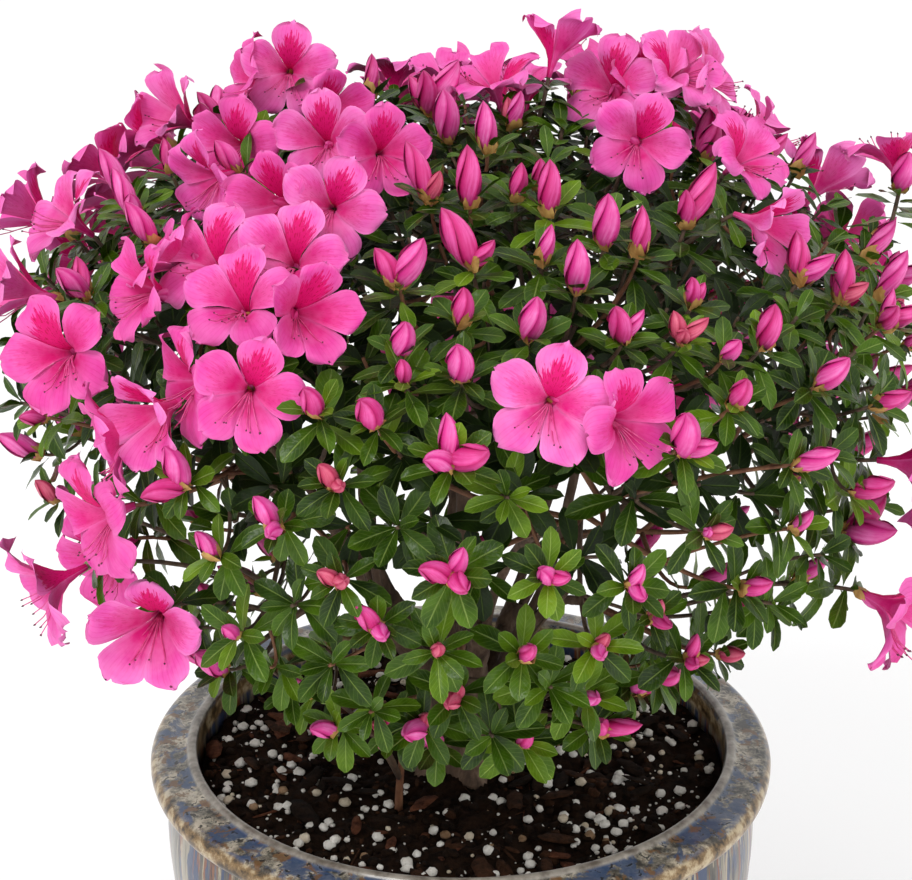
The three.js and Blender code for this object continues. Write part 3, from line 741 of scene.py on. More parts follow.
def petal_shape(form, p, kind):
    """A petal that rises along +Z and opens to its own side, ruffled towards its edge"""
    phase = kind + p

    def place(v, radius, height, half, c):
        edge = c**2
        turn = rad(c * half)
        r = radius * (1 - 0.05 * v * edge) * (1 - 0.35 * CUPPED[form] * v)
        r *= 1 + 0.03 * v**6 * math.cos(6 * c + form + 2 * phase)
        z = height + 0.9 * c * v - 1.2 * v**3 * edge + CUPPED[form] * max(0, radius - 8)
        z += 2.6 * v**2 * (0.25 + edge) * math.sin(3.1 * c + 4.6 * v + 2.1 * form + phase)
        z += 3.0 * v**2 * edge * math.sin(11 * v + 2 * c + 1.3 * form + 2 * phase)
        z -= 1.3 * v * math.exp(-(c / 0.2) ** 2)
        return r * math.sin(turn), r * math.cos(turn), z

    petal = sheet(PETAL_ROWS, np.linspace(-1, 1, PETAL_COLUMNS), place, kind, form)
    turn = rad(360 / len(PETAL_KINDS) * p + sway(3, 71, form, p))
    spin = [[math.cos(turn), math.sin(turn), 0], [-math.sin(turn), math.cos(turn), 0], [0, 0, 1]]
    petal.points = (petal.points * [1, 1, 1 + sway(0.06, 72, form, p)]) @ np.array(spin)
    return petal


def flower_shape(form):
    """A funnel of five petals about +Z, the blotched one to +Y"""
    return merged([petal_shape(form, p, kind) for p, kind in enumerate(PETAL_KINDS)])


def thread_shapes(form, k):
    """A stamen, or after the last of them the style, and in the second slot the knob at its tip"""
    style = k == STAMENS
    fan = (k - STAMENS / 2) * 3.4 + sway(1.5, 81, form, k)
    down = -12.5 + sway(3.0, 82, form, k) - 3 * style
    rise = 26 + sway(2.0, 83, form, k) + 3 * style
    curve = bezier([(0.06 * fan, -0.6, 4), (0.15 * fan, -2.5, 19), (0.8 * fan, down, 17 + 4 * style),
                    (fan, down * 1.05, rise)], THREAD_STEPS)
    rings = tube_points(curve, np.linspace(0.36, 0.28, len(curve)), THREAD_SIDES)
    knob = curve[-1] + KNOB * ([0.7, 0.7, 0.6] if style else [0.5, 0.5, 0.8])
    return [Shape(points, faces, tile(np.full((len(points), 2), 0.5), 3, 3), [slot] * len(faces))
            for slot, (points, faces) in enumerate([
                (rings.reshape(-1, 3), tube_shape(*rings.shape[:2]).faces), (knob, KNOB_FACES)])]


def threads_shape(form):
    """A flower's stamens and style"""
    return merged([shape for k in range(STAMENS + 1) for shape in thread_shapes(form, k)])


FLOWER_SHAPES = [flower_shape(form) for form in range(FLOWER_FORMS)]
THREAD_SHAPES = [threads_shape(form) for form in range(FLOWER_FORMS)]


def add_flower(flowers, threads, at, axis, size, key):
    level, other = across(axis)
    y = turned(other, level, rad(sway(34, 91, key)))
    place = (key % FLOWER_FORMS, at, np.cross(y, axis), y, axis, size)
    flowers.add(*place, int(3 * chance(92, key)))
    threads.add(*place)


# ---- Materials ----

class Paint:
    """A node material on one Principled shader"""

    def __init__(self, name, roughness, **values):
        self.material = bpy.data.materials.new(name)
        self.material.use_nodes = True
        self.tree = self.material.node_tree
        self.shader = self.tree.nodes["Principled BSDF"]
        self.shader.inputs["Roughness"].default_value = roughness
        for socket, value in values.items():
            self.shader.inputs[socket.replace("_", " ")].default_value = value

    def node(self, kind, inputs=None, **settings):
        made = self.tree.nodes.new("ShaderNode" + kind)
        for key, value in settings.items():
            setattr(made, key, value)
        for key, value in (inputs or {}).items():
            if isinstance(value, bpy.types.NodeSocket):
                self.tree.links.new(value, made.inputs[key])
            else:
                made.inputs[key].default_value = value
        return made

    def object_place(self, stretch=(1, 1, 1)):
        place = self.node("TexCoord").outputs["Object"]
        return self.node("Mapping", {"Vector": place, "Scale": stretch}).outputs["Vector"]

    def noise(self, place, scale, detail=4, roughness=0.55, distortion=0):
        return self.node("TexNoise", {"Vector": place, "Scale": scale, "Detail": detail,
                                      "Roughness": roughness, "Distortion": distortion}).outputs["Fac"]

    def math(self, operation, a, b=0.0):
        return self.node("Math", {0: a, 1: b}, operation=operation).outputs[0]

    def times(self, a, b):
        return self.math("MULTIPLY", a, b)

    def plus(self, a, b):
        return self.math("ADD", a, b)

    def minus(self, a, b):
        return self.math("SUBTRACT", a, b)

    def ramp(self, value, stops):
        """Colours or greys along a value, given as (place, colour or grey)"""
        made = self.node("ValToRGB", {"Fac": value})
        ramp = made.color_ramp
        while len(ramp.elements) < len(stops):
            ramp.elements.new(1)
        for element, (place, colour) in zip(ramp.elements, stops):
            element.position = place
            element.color = (*colour, 1) if isinstance(colour, tuple) else (colour, colour, colour, 1)
        return made.outputs["Color"]

    def slope(self, value, low, high, top=1.0):
        """0 up to a low value, and from there up to the top at a high one"""
        return self.ramp(value, [(low, 0.0), (high, top)])

    def mix(self, share, a, b):
        a, b = ((*c, 1) if isinstance(c, tuple) else c for c in (a, b))
        return self.node("Mix", {0: share, 6: a, 7: b}, data_type="RGBA").outputs[2]

    def stripes(self, value, strength, width):
        """Thin lines, one for each whole number that a value passes"""
        apart = self.math("ABSOLUTE", self.minus(self.math("FRACT", value), 0.5))
        return self.ramp(apart, [(0.0, strength), (width, 0.0)])

    def tile_place(self):
        """Across and along inside a tile of the flat map, and the tile's column"""
        parts = self.node("SeparateXYZ", {0: self.node("UVMap", uv_map="OFBake").outputs["UV"]})
        u, v = (self.times(parts.outputs[axis], TILES) for axis in "XY")
        return self.math("FRACT", u), self.math("FRACT", v), self.math("FLOOR", u)

    def from_middle(self, across):
        """0 at the middle of a leaf or petal and 1 at either edge"""
        return self.times(self.math("ABSOLUTE", self.minus(across, 0.5)), 2.0)

    def flat_noise(self, across, along, scales, detail):
        """Noise over a tile of the flat map, finer across it than along it"""
        x, y = self.times(across, scales[0]), self.times(along, scales[1])
        return self.noise(self.node("CombineXYZ", {"X": x, "Y": y}).outputs[0], 1.0, detail)

    def colour(self, socket):
        self.tree.links.new(socket, self.shader.inputs["Base Color"])

    def finished(self, colour, height, strength, distance):
        """The material, once it has its colour and its relief"""
        self.colour(colour)
        bump = self.node("Bump", {"Height": height, "Strength": strength, "Distance": distance})
        self.tree.links.new(bump.outputs["Normal"], self.shader.inputs["Normal"])
        return self.material


def leaf_paint(name, dark, light, rib, roughness):
    paint = Paint(name, roughness, Specular_IOR_Level=0.2)
    across, along, _ = paint.tile_place()
    out = paint.from_middle(across)
    place = paint.object_place()
    blade = paint.mix(paint.slope(paint.noise(place, 55, 3), 0.35, 0.65), dark, light)
    blade = paint.mix(paint.slope(out, 0.80, 1.0, 0.5), blade, rib)
    slant = paint.minus(paint.times(along, 9.0), paint.times(out, 2.4))
    blade = paint.mix(paint.stripes(slant, 0.30, 0.09), blade, rib)
    midrib = paint.ramp(out, [(0.03, 0.8), (0.10, 0.0)])
    height = paint.minus(paint.noise(place, 260, 2), paint.times(midrib, 0.8))
    return paint.finished(paint.mix(midrib, blade, rib), height, 0.6, 0.0008)


def petal_paint(name, throat, body, rim):
    """Throat to rim, with veins, a paler cloud and a streaky blotch, dotted, on the upper petal"""
    paint = Paint(name, 0.6, Specular_IOR_Level=0.2)
    across, along, column = paint.tile_place()
    out = paint.from_middle(across)
    place = paint.object_place()
    colour = paint.ramp(along, [(0.0, (0.56, 0.008, 0.15)), (0.20, throat), (0.40, throat),
                                (0.60, body), (0.80, body), (1.0, rim)])
    colour = paint.mix(paint.slope(out, 0.60, 0.95, 0.65), colour, rim)
    fan = paint.times(paint.minus(across, 0.5), 11.0)
    colour = paint.mix(paint.stripes(fan, 0.34, 0.16), colour, throat)
    colour = paint.mix(paint.slope(paint.noise(place, 80, 3), 0.35, 0.65, 0.5), colour, rim)
    share = paint.ramp(paint.math("DIVIDE", column, 3.0), [(0.0, 1.0), (0.33, 0.30), (0.66, 0.08)])
    streaks = paint.flat_noise(across, along, (24.0, 6.0), 2)
    reach = paint.minus(paint.plus(paint.times(streaks, 0.60), 0.42),
                        paint.plus(along, paint.times(out, 0.20)))
    blotch = paint.times(paint.slope(reach, 0.0, 0.07), share)
    colour = paint.mix(blotch, colour, (0.66, 0.005, 0.155))
    dots = paint.slope(paint.flat_noise(across, along, (30.0, 22.0), 1), 0.56, 0.62, 0.8)
    colour = paint.mix(paint.times(dots, blotch), colour, (0.42, 0.0, 0.05))
    return paint.finished(colour, paint.noise(place, 300, 3), 0.25, 0.0005)


def bud_paint(name, dark, body, light):
    paint = Paint(name, 0.45, Specular_IOR_Level=0.3)
    fold, along, _ = paint.tile_place()
    # painted shade: dark in the folds, where each wound petal tucks under the next and at its overlapping
    # edge, paler across its middle
    colour = paint.ramp(fold, [(0.0, dark), (0.18, dark), (0.34, body), (0.62, light), (0.90, light),
                               (0.97, body), (1.0, dark)])
    grain = paint.flat_noise(fold, along, (9.0, 2.0), 3)
    colour = paint.mix(paint.slope(grain, 0.42, 0.62, 0.7), colour, body)
    cloudy = paint.slope(paint.noise(paint.object_place(), 120, 2), 0.4, 0.65, 0.5)
    colour = paint.mix(cloudy, colour, body)
    # darker towards the foot and the tip, in the same dark colour
    ends = paint.ramp(along, [(0.0, 0.9), (0.25, 0.1), (0.75, 0.0), (1.0, 0.6)])
    return paint.finished(paint.mix(ends, colour, dark), grain, 0.3, 0.0008)


def bark_paint():
    paint = Paint("bark", 0.82)
    grain = paint.noise(paint.object_place((1, 1, 0.25)), 160, 6, 0.65)
    colour = paint.ramp(grain, [(0.3, (0.035, 0.02, 0.012)), (0.5, (0.10, 0.058, 0.035)),
                                (0.68, (0.19, 0.125, 0.085)), (0.85, (0.30, 0.22, 0.16))])
    return paint.finished(colour, grain, 0.7, 0.002)


def twig_paint(name, low, high):
    paint = Paint(name, 0.7)
    grain = paint.noise(paint.object_place((1, 1, 0.4)), 240)
    return paint.finished(paint.ramp(grain, [(0.35, low), (0.7, high)]), grain, 0.4, 0.0008)


def soil_paint(name, low, high, roughness=0.95):
    paint = Paint(name, roughness, Specular_IOR_Level=0.1)
    grain = paint.noise(paint.object_place(), 210, 6, 0.7)
    return paint.finished(paint.ramp(grain, [(0.35, low), (0.7, high)]), grain, 0.8, 0.002)


# glaze patches: stretch up the pot, scale, edge from and to, strength, detail, colour
BODY_PATCHES = [
    (0.10, 120, 0.49, 0.54, 0.92, 5, (0.022, 0.045, 0.115)),
    (0.07, 170, 0.54, 0.58, 0.92, 5, (0.19, 0.060, 0.018)),
    (0.09, 200, 0.56, 0.60, 0.9, 5, (0.38, 0.32, 0.22)),
    (0.10, 90, 0.58, 0.62, 0.9, 5, (0.008, 0.009, 0.014)),
]
BAND_PATCHES = [
    (1, 62, 0.48, 0.53, 0.85, 5, (0.036, 0.070, 0.150)),
    (1, 110, 0.56, 0.60, 0.85, 5, (0.16, 0.080, 0.030)),
    (1, 240, 0.59, 0.63, 0.9, 3, (0.010, 0.010, 0.010)),
]


def patched(paint, ground, patches):
    for stretch, scale, low, high, strength, detail, colour in patches:
        spots = paint.noise(paint.object_place((1, 1, stretch)), scale, detail, 0.62, 0.5)
        ground = paint.mix(paint.slope(spots, low, high, strength), ground, colour)
    return ground


def glaze_paint():
    """Mottled glaze: streaks of blue, rust and cream over grey, with a thin golden lip and a lighter grey
    painted highlight along the bead at the rim's inner edge
    """
    paint = Paint("pot_glaze", 0.28, Specular_IOR_Level=0.3, Coat_Weight=0.3, Coat_Roughness=0.06)
    place = paint.object_place()
    height = paint.math("DIVIDE", paint.node("SeparateXYZ", {0: place}).outputs["Z"], POT_HEIGHT * MM)
    level = paint.plus(height, paint.times(paint.minus(paint.noise(place, 45, 3), 0.5), 0.012))
    streaks = paint.noise(paint.object_place((1, 1, 0.14)), 80, 5, 0.6, 0.4)
    body = patched(paint, paint.ramp(streaks, [
        (0.36, (0.030, 0.028, 0.026)), (0.48, (0.13, 0.115, 0.085)), (0.60, (0.27, 0.24, 0.18)),
    ]), BODY_PATCHES)
    band = patched(paint, paint.ramp(paint.noise(place, 120, 5, 0.7), [
        (0.40, (0.045, 0.042, 0.036)), (0.50, (0.205, 0.185, 0.145)), (0.60, (0.47, 0.42, 0.33)),
    ]), BAND_PATCHES)
    lip = paint.ramp(paint.noise(place, 120, 5, 0.65), [
        (0.38, (0.040, 0.026, 0.012)), (0.50, (0.21, 0.130, 0.055)), (0.62, (0.46, 0.37, 0.23)),
    ])
    # painted highlight: lighter grey along the top of the bead at the rim's inner edge
    bead_highlight = paint.ramp(paint.noise(place, 140), [(0.35, (0.12, 0.10, 0.08)), (0.65, (0.33, 0.30, 0.255))])
    colour = paint.mix(paint.slope(level, 0.940, 0.950), body, lip)
    colour = paint.mix(paint.slope(level, 0.980, 0.986), colour, band)
    colour = paint.mix(paint.slope(height, 0.994, 0.996), colour, bead_highlight)
    return paint.finished(colour, paint.noise(place, 90, 4, 0.6), 0.15, 0.002)


# ---- Camera, light and floor ----

CAMERA_DISTANCE = 1.3
CAMERA_RISE = 29.25
CAMERA_PITCH = 22.76
CAMERA_ROLL = 0.136
LIGHT_TARGET = np.array([0, 0, 0.4])
FLOOR_HALF = 12


def make_camera():
    lens = bpy.data.cameras.new("camera")
    lens.lens = 101.7
    lens.sensor_fit = "HORIZONTAL"
    lens.sensor_width = 36
    camera = bpy.data.objects.new("camera", lens)
    camera.location = (0, -CAMERA_DISTANCE * math.cos(rad(CAMERA_RISE)),
                       POT_HEIGHT * MM + CAMERA_DISTANCE * math.sin(rad(CAMERA_RISE)))
    camera.rotation_euler = (rad(90 - CAMERA_PITCH), 0, rad(CAMERA_ROLL))
    bpy.context.scene.collection.objects.link(camera)
    bpy.context.scene.camera = camera


def make_light(name, place, size, power):
    lamp = bpy.data.lights.new(name, "AREA")
    lamp.shape = "DISK"
    lamp.size = size
    lamp.energy = power
    light = bpy.data.objects.new(name, lamp)
    light.location = place
    x, y, z = LIGHT_TARGET - place
    light.rotation_euler = (math.atan2(math.hypot(x, y), -z), 0, math.atan2(-x, y))
    bpy.context.scene.collection.objects.link(light)


def make_floor():
    size = FLOOR_HALF
    mesh = bpy.data.meshes.new("floor")
    mesh.from_pydata([(-size, -size, 0), (size, -size, 0), (size, size, 0), (-size, size, 0)], [],
                     [(0, 1, 2, 3)])
    floor = bpy.data.objects.new("floor", mesh)
    bpy.context.scene.collection.objects.link(floor)
    paint = Paint("floor", 0.9)
    grain = paint.noise(paint.object_place(), 3, 2)
    paint.colour(paint.ramp(grain, [(0.3, (0.965, 0.965, 0.965)), (0.7, (0.98, 0.98, 0.98))]))
    mesh.materials.append(paint.material)


def make_world():
    world = bpy.data.worlds.new("studio")
    world.use_nodes = True
    world.node_tree.nodes["Background"].inputs["Color"].default_value = (1, 1, 1, 1)
    world.node_tree.nodes["Background"].inputs["Strength"].default_value = 1.0
    bpy.context.scene.world = world
    bpy.context.scene.view_settings.view_transform = "Standard"


def make_stage():
    make_floor()
    make_world()
    make_light("key", (-1.0, -1.5, 2.4), 0.8, 24)
    make_light("fill", (1.8, -1.4, 1.4), 1.2, 6)
    make_light("low", (0.2, -2.2, 0.5), 1.4, 5)


# ---- Pot, soil and grit ----

LONG_RUN = 30
SOIL_SIDES = 150
SOIL_RINGS = 64
WAVE_LENGTHS = (34, 23, 15, 11, 7, 5)
GRIT_INNER = 26
GRIT_TILT = 25


def smoothed(profile):
    """The profile with points added by a smooth curve through its own, but along straight long runs"""
    fine = [profile[0]]
    padded = np.vstack([profile[0], profile, profile[-1]])
    for a, b, c, d in zip(padded, padded[1:], padded[2:], padded[3:]):
        for t in np.linspace(0, 1, 4)[1:]:
            smooth = 0.5 * (2 * b + (c - a) * t + (2 * a - 5 * b + 4 * c - d) * t**2
                            + (3 * b - a - 3 * c + d) * t**3)
            fine.append(b + (c - b) * t if apart(c, b) > LONG_RUN else smooth)
    return np.clip(fine, (0.5, 0), (POT_RADIUS, POT_HEIGHT))


def make_pot():
    """The pot's wall, slightly uneven as thrown, but for its foot and its lip"""
    turns = circle(POT_SIDES)
    rings = []
    for radius, level in smoothed(np.array(POT_PROFILE, float)):
        wave = 0.35 * np.sin(3 * turns + 0.02 * level) + 0.2 * np.sin(7 * turns + 1 + 0.05 * level)
        uneven = float(20 < level < 236 and radius > 100)
        rings.append(hoop(radius + uneven * wave, turns, level))
    heap = Heap()
    heap.loft(rings)
    heap.piece("glazed_pot", [glaze_paint()], "pot_glaze", ["pot"])


def soil_height(x, y):
    """A low mound, made uneven by a few crossing waves"""
    lumps = 0
    for k, length in enumerate(WAVE_LENGTHS):
        turn = math.tau * chance(101, 1, k)
        phase = 6.28 * chance(102, 1, k)
        along = x * math.cos(turn) + y * math.sin(turn)
        lumps = lumps + length * 0.035 * np.sin(along * 6.28 / length + phase)
    share = np.clip((SOIL_RADIUS - np.hypot(x, y)) / (SOIL_RADIUS - MOUND_RADIUS), 0, 1)
    return SOIL_LEVEL + SOIL_MOUND * share + lumps - 1.0


def make_soil():
    turns = circle(SOIL_SIDES)
    rings = []
    for r in np.linspace(0.4, SOIL_RADIUS, SOIL_RINGS):
        rough = np.array([sway(1.0, 103, int(r * 10), s) for s in range(SOIL_SIDES)]) if r > 5 else 0
        height = soil_height(r * np.cos(turns), r * np.sin(turns)) + rough
        rings.append(hoop(r, turns, np.minimum(height, POT_HEIGHT - 4)))
    rings += [hoop(radius, turns, level) for radius, level in SOIL_SIDE]
    heap = Heap()
    heap.loft(rings, inward=True)
    heap.piece("soil_bed", [soil_paint("soil", (0.003, 0.0016, 0.001), (0.026, 0.012, 0.006))],
               "potting_mix", ["soil"])


def quartered(points, faces):
    """Each triangle split in four, with its edges' middles pushed out to one unit"""
    middles, finer = {}, []
    for a, b, c in faces:
        ids = []
        for pair in (tuple(sorted(edge)) for edge in ((a, b), (b, c), (c, a))):
            if pair not in middles:
                middles[pair] = len(points)
                points.append(unit(points[pair[0]] + points[pair[1]]))
            ids.append(middles[pair])
        ab, bc, ca = ids
        finer += [(a, ab, ca), (b, bc, ab), (c, ca, bc), (ab, bc, ca)]
    return points, finer


def pebble_shape(key, flatness=1.0, length=1.0, lumps=0.11):
    """A rough grain about one unit across"""
    golden = (1 + 5**0.5) / 2
    corners = [np.roll((a, b, 0), turn) for turn in range(3) for b in (golden, -golden) for a in (-1, 1)]
    faces = [(0, 11, 5), (0, 5, 1), (0, 1, 7), (0, 7, 10), (0, 10, 11), (1, 5, 9), (5, 11, 4),
             (11, 10, 2), (10, 7, 6), (7, 1, 8), (3, 9, 4), (3, 4, 2), (3, 2, 6), (3, 6, 8), (3, 8, 9),
             (4, 9, 5), (2, 4, 11), (6, 2, 10), (8, 6, 7), (9, 8, 1)]
    points, faces = quartered([unit(corner) for corner in corners], faces)
    points = np.array([point * (0.5 + sway(lumps, 111, key, i)) for i, point in enumerate(points)])
    return Shape(points * [length, 1, flatness], faces)


def scatter(heap, shapes, count, low, high, sink, key, slots, skew=1.5):
    """Grains of a range of sizes strewn on the soil, most of them small"""
    grains = Copies(shapes)
    for i in range(count):
        radius = GRIT_INNER + (SOIL_RADIUS - 4 - GRIT_INNER) * math.sqrt(chance(121, key, i))
        x, y, _ = polar(360 * chance(122, key, i), radius, 0)
        size = low + (high - low) * chance(123, key, i) ** 2.2
        at = np.array([x, y, min(soil_height(x, y) + size * (0.5 - sink), POT_HEIGHT - 5)])
        normal = leaning(UP, GRIT_TILT * chance(124, key, i), 360 * chance(125, key, i))
        along = turned(*across(normal), math.tau * chance(126, key, i))
        grains.add(i % len(shapes), at, along, np.cross(normal, along), normal, size,
                   int(slots * chance(127, key, i) ** skew))
    grains.pour(heap)


def pebbles(count, first, *form):
    return [pebble_shape(first + k, *form) for k in range(count)]


def make_grit():
    perlite = Heap()
    scatter(perlite, pebbles(4, 0, 0.85, 1.1, 0.07), 1000, 0.7, 5.8, 0.15, 1, slots=3, skew=5)
    perlite.piece("perlite_grains", [
        soil_paint("perlite_white", (0.60, 0.57, 0.51), (0.90, 0.88, 0.83), 0.8),
        soil_paint("perlite_cream", (0.46, 0.38, 0.27), (0.74, 0.66, 0.53), 0.8),
        soil_paint("perlite_tan", (0.16, 0.09, 0.045), (0.42, 0.28, 0.17), 0.85),
    ], "perlite")
    crumbs = Heap()
    scatter(crumbs, pebbles(4, 10, 0.7, 1.2), 1100, 1.5, 6.0, 0.35, 2, slots=2, skew=2.5)
    scatter(crumbs, pebbles(5, 20, 0.24, 2.3), 210, 2.2, 10.5, 0.1, 3, slots=3)
    scatter(crumbs, pebbles(3, 30, 0.9, 13, 0.05), 110, 0.6, 1.7, 0.0, 4, slots=3)
    crumbs.piece("soil_crumbs", [
        soil_paint("crumb_dark", (0.003, 0.0016, 0.001), (0.022, 0.011, 0.006)),
        soil_paint("crumb_brown", (0.010, 0.0045, 0.002), (0.065, 0.027, 0.013)),
        soil_paint("crumb_red", (0.028, 0.009, 0.005), (0.15, 0.055, 0.028)),
    ], "potting_mix")


# ---- Woody parts ----

STEM_SIDES = 60
STEM_ROWS = 22
BOUGH_MESH = (22, 56)  # sides round a limb and steps along it
BRANCH_MESH = (12, 36)


def stem_rings():
    """The stem's surface, lobed over its roots and ridged, with a rounded top"""
    turns = circle(STEM_SIDES)
    rings = []
    for share in np.arange(STEM_ROWS) / (STEM_ROWS - 1):
        level = SOIL_LEVEL + SOIL_MOUND - 3 + (STEM_HEIGHT + 3.3) * share
        radius = STEM_TOP_RADIUS + (STEM_BASE_RADIUS - STEM_TOP_RADIUS) * (1 - share) ** 2
        flare = 1 + 0.16 * (1 - share) ** 2 * np.cos(ROOT_LOBES * turns)
        bark = 0.035 * np.sin(9 * turns + 5 * share) + 0.02 * np.sin(23 * turns - 7 * share)
        reach = radius * (flare + bark) * (0.9 if share == 1 else 1)
        rings.append(hoop(reach, turns, level, STEM_LEAN * share))
    middle = np.array([STEM_LEAN, 0, rings[-1][0, 2]])
    rings.append(middle + 0.5 * (rings[-1] - middle) + 1.2 * UP)
    return rings


def limb_rings(curve, base, tip, sides, steps, k):
    """A limb's surface, ridged along its length"""
    path = resampled(curve, steps)
    turns = circle(sides)
    rise = np.arange(steps + 1)[:, None]
    relief = 1 + 0.07 * np.sin(3 * turns + 0.35 * rise + k) + 0.05 * np.sin(5 * turns - 0.8 * rise)
    relief = relief + 0.05 * np.sin(1.7 * rise + k) * np.sin(2 * turns + rise)
    rings = tube_points(path, np.linspace(base, tip, steps + 1), sides)
    return path[:, None] + (rings - path[:, None]) * relief[:, :, None]


def make_wood(limbs):
    heap = Heap()
    heap.loft(stem_rings(), capped=True)
    for k, (name, curve, base, tip) in enumerate(limbs):
        sides, steps = BOUGH_MESH if name.startswith("bough") else BRANCH_MESH
        add_tube(heap, limb_rings(curve, base, tip, sides, steps, k))
    heap.piece("stem_and_boughs", [bark_paint()], "bark", ["stem"] + [limb[0] for limb in limbs])


# ---- Growth on the shoots ----

FLOWER_SIZES = (0.84, 1.15)
MEAN_LEVEL = 430  # where a flower is 1.05 times the size it is drawn at
HALF_LEVEL = CROWN_LEVEL + 10
BUD_LEANS = (5, 20, 27, 27)  # how far apart buds lean, by how many a shoot bears


def add_twig(twigs, shoot):
    thin = 1.0 if shoot.kind == "flower" else 0.85
    radii = np.linspace(shoot.thick, thin, len(shoot.twig))
    red = shoot.kind == "sucker" or chance(131, shoot.key) < 0.35
    add_tube(twigs, tube_points(shoot.twig, radii, 5), int(red))


def add_leaves(leaves, shoot):
    """The whorl at a shoot's tip: more of them are young low down in front"""
    at, aim, key = shoot.at, shoot.aim, shoot.key
    lit = 0.25 if at[2] < CROWN_LEVEL - 110 and at[1] < 0 else 0.06
    tone = YOUNG if chance(132, key) < lit else int(chance(133, key) < 0.35)
    if shoot.kind == "flower":
        add_whorl(leaves, at - 3 * aim, aim, 8, 0.90, key, 1.0, (62, 108), tone)
    elif shoot.kind == "inner":
        # inner leaves take the darker tone of painted shade, for the shade inside the crown
        add_whorl(leaves, at, aim, 8, 0.95, key, 1.6, (40, 100), INNER_SHADE)
    else:
        count, size = 8 + int(3.5 * chance(140, key)), 0.82 + sway(0.09, 141, key)
        add_whorl(leaves, at, aim, count, size, key, 0.8, (34, 100), tone)


def add_bloom(flowers, threads, buds, scales, shoot):
    """An open flower, with a bud beside it on some shoots"""
    at, key = shoot.at, shoot.key
    large = np.clip(1.05 + (MEAN_LEVEL - at[2]) / 700, *FLOWER_SIZES)
    add_flower(flowers, threads, at, shoot.axis, large + sway(0.05, 136, key), key)
    if chance(137, key) < 0.4:
        tilt = leaning(shoot.aim, 35, 360 * chance(138, key))
        add_bud(buds, scales, at, tilt, 12 + 10 * chance(139, key), key % 3, key % 2, key)


def add_buds(buds, scales, shoot):
    """One bud straight up the shoot, or several that lean apart"""
    key = shoot.key
    few = 4 if shoot.kind == "sucker" else 1 + int(2.6 * chance(142, key) ** 2)
    count, longest = shoot.buds or (few, 13 + 14 * chance(145, key))
    aim = unit(shoot.aim + 0.35 * UP)
    for b in range(count):
        roll = 360 * chance(144, key) + b * 360 / count
        tilt = leaning(aim, BUD_LEANS[count - 1] + 12 * chance(143, key, b), roll)
        length = longest * (1 - 0.45 * chance(148, key, b) * (b > 0))
        form = 2 if length < 15 else int(2 * chance(146, key, b))
        tone = 2 if length < 17 and chance(147, key, b) < 0.6 else int(2 * chance(149, key, b))
        add_bud(buds, scales, shoot.at - 0.8 * aim, tilt, length, form, tone, key + b)


def make_leaves(masses, lower, upper):
    greens = [
        leaf_paint("leaf_dark", (0.008, 0.024, 0.0004), (0.034, 0.082, 0.002), (0.15, 0.22, 0.045), 0.30),
        leaf_paint("leaf_mid", (0.018, 0.050, 0.0008), (0.066, 0.140, 0.004), (0.19, 0.28, 0.06), 0.30),
        leaf_paint("leaf_young", (0.055, 0.120, 0.002), (0.135, 0.240, 0.008), (0.26, 0.38, 0.07), 0.38),
        # the last green is painted shade: darker leaves for inside the crown
        leaf_paint("leaf_inner_shade", (0.003, 0.010, 0.0002), (0.012, 0.032, 0.0008), (0.045, 0.08, 0.010), 0.45),
    ]
    for name, leaves, rings in [("leaves_lower", lower, ("low", "middle", "sucker")),
                                ("leaves_upper", upper, ("upper", "top"))]:
        nodes = [f"foliage_{mass.name}" for mass in masses if mass.ring in rings]
        leaves.pour(Heap()).piece(name, greens, "foliage", nodes)


def make_twigs(twigs):
    twigs.piece("twigs", [
        twig_paint("twig_brown", (0.045, 0.025, 0.014), (0.14, 0.085, 0.05)),
        twig_paint("twig_red", (0.13, 0.045, 0.022), (0.26, 0.12, 0.055)),
    ], "bark")


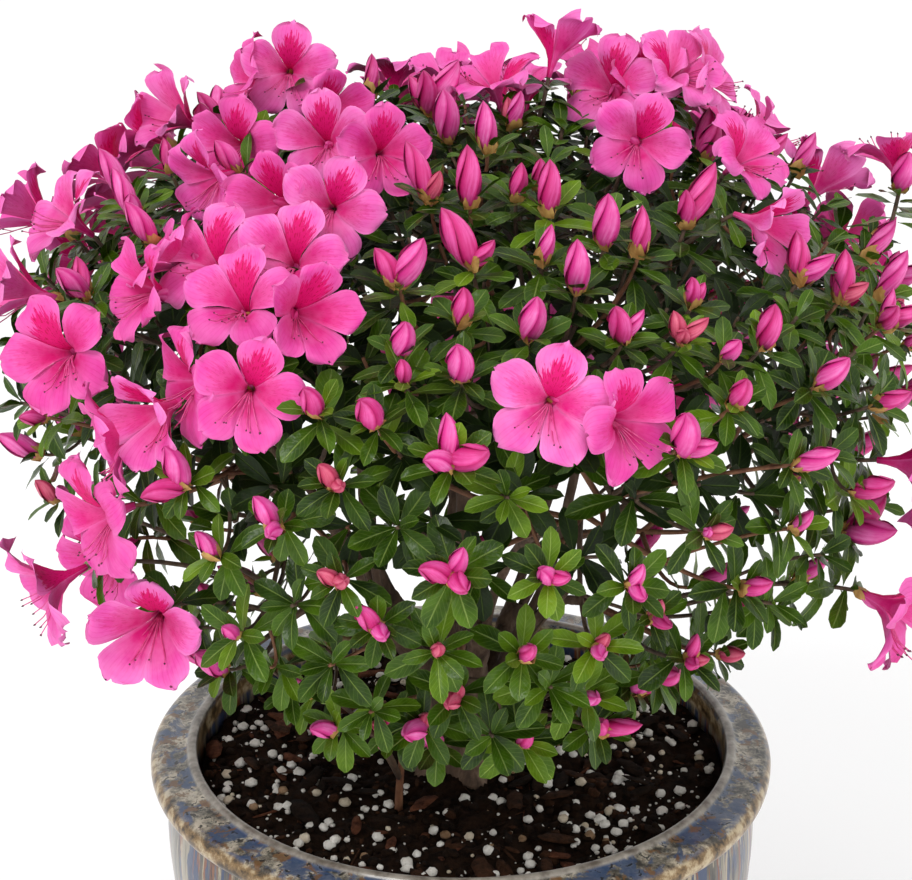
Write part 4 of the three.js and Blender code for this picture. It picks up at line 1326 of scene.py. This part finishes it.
def make_buds(buds, scales):
    buds.pour(Heap()).piece("buds", [
        # the first colour of each is the painted shade in the folds
        bud_paint("bud_rose", (0.25, 0.002, 0.055), (0.58, 0.018, 0.18), (0.78, 0.11, 0.39)),
        bud_paint("bud_pink", (0.33, 0.003, 0.09), (0.68, 0.032, 0.27), (0.85, 0.19, 0.51)),
        bud_paint("bud_coral", (0.26, 0.008, 0.045), (0.50, 0.040, 0.11), (0.70, 0.15, 0.24)),
    ], "blossom")
    scales.pour(Heap()).piece("bud_scales", [
        twig_paint("scale_green", (0.13, 0.19, 0.015), (0.34, 0.38, 0.06)),
        twig_paint("scale_tawny", (0.32, 0.14, 0.03), (0.62, 0.38, 0.12)),
    ], "foliage")


def make_flowers(flowers, threads):
    flowers.pour(Heap()).piece("petals", [
        petal_paint("petal_hot", (0.62, 0.008, 0.18), (0.75, 0.063, 0.37), (0.83, 0.19, 0.53)),
        petal_paint("petal_pink", (0.64, 0.012, 0.20), (0.76, 0.088, 0.41), (0.85, 0.24, 0.57)),
        petal_paint("petal_rose", (0.56, 0.006, 0.15), (0.70, 0.047, 0.32), (0.80, 0.16, 0.47)),
    ], "blossom")
    threads.pour(Heap()).piece("stamens", [
        twig_paint("thread_pink", (0.62, 0.03, 0.20), (0.85, 0.16, 0.42)),
        twig_paint("anther_dark", (0.07, 0.008, 0.03), (0.20, 0.03, 0.07)),
    ], "blossom")


def make_growth(masses, shoots):
    """Twigs, leaves, buds and flowers, each kind apart, with the leaves in a lower and an upper part"""
    twigs = Heap()
    lower, upper = Copies(LEAF_SHAPES), Copies(LEAF_SHAPES)
    buds, scales = Copies(BUD_SHAPES), Copies(SCALE_SHAPES)
    flowers, threads = Copies(FLOWER_SHAPES), Copies(THREAD_SHAPES)
    for shoot in shoots:
        add_twig(twigs, shoot)
        add_leaves(upper if shoot.at[2] > HALF_LEVEL else lower, shoot)
        if shoot.kind == "flower":
            add_bloom(flowers, threads, buds, scales, shoot)
        elif shoot.kind in ("bud", "sucker"):
            add_buds(buds, scales, shoot)
    make_leaves(masses, lower, upper)
    make_twigs(twigs)
    make_buds(buds, scales)
    make_flowers(flowers, threads)


make_camera()
make_stage()
masses = make_masses()
limbs = make_limbs(masses)
shoots = make_shoots(masses)
make_pot()
make_soil()
make_grit()
make_wood(limbs)
make_growth(masses, shoots)

triangles = {made.name: sum(len(face.vertices) - 2 for face in made.data.polygons)
             for made in bpy.data.objects if made.type == "MESH"}
print("triangles", {name: n for name, n in triangles.items() if n > 3000})
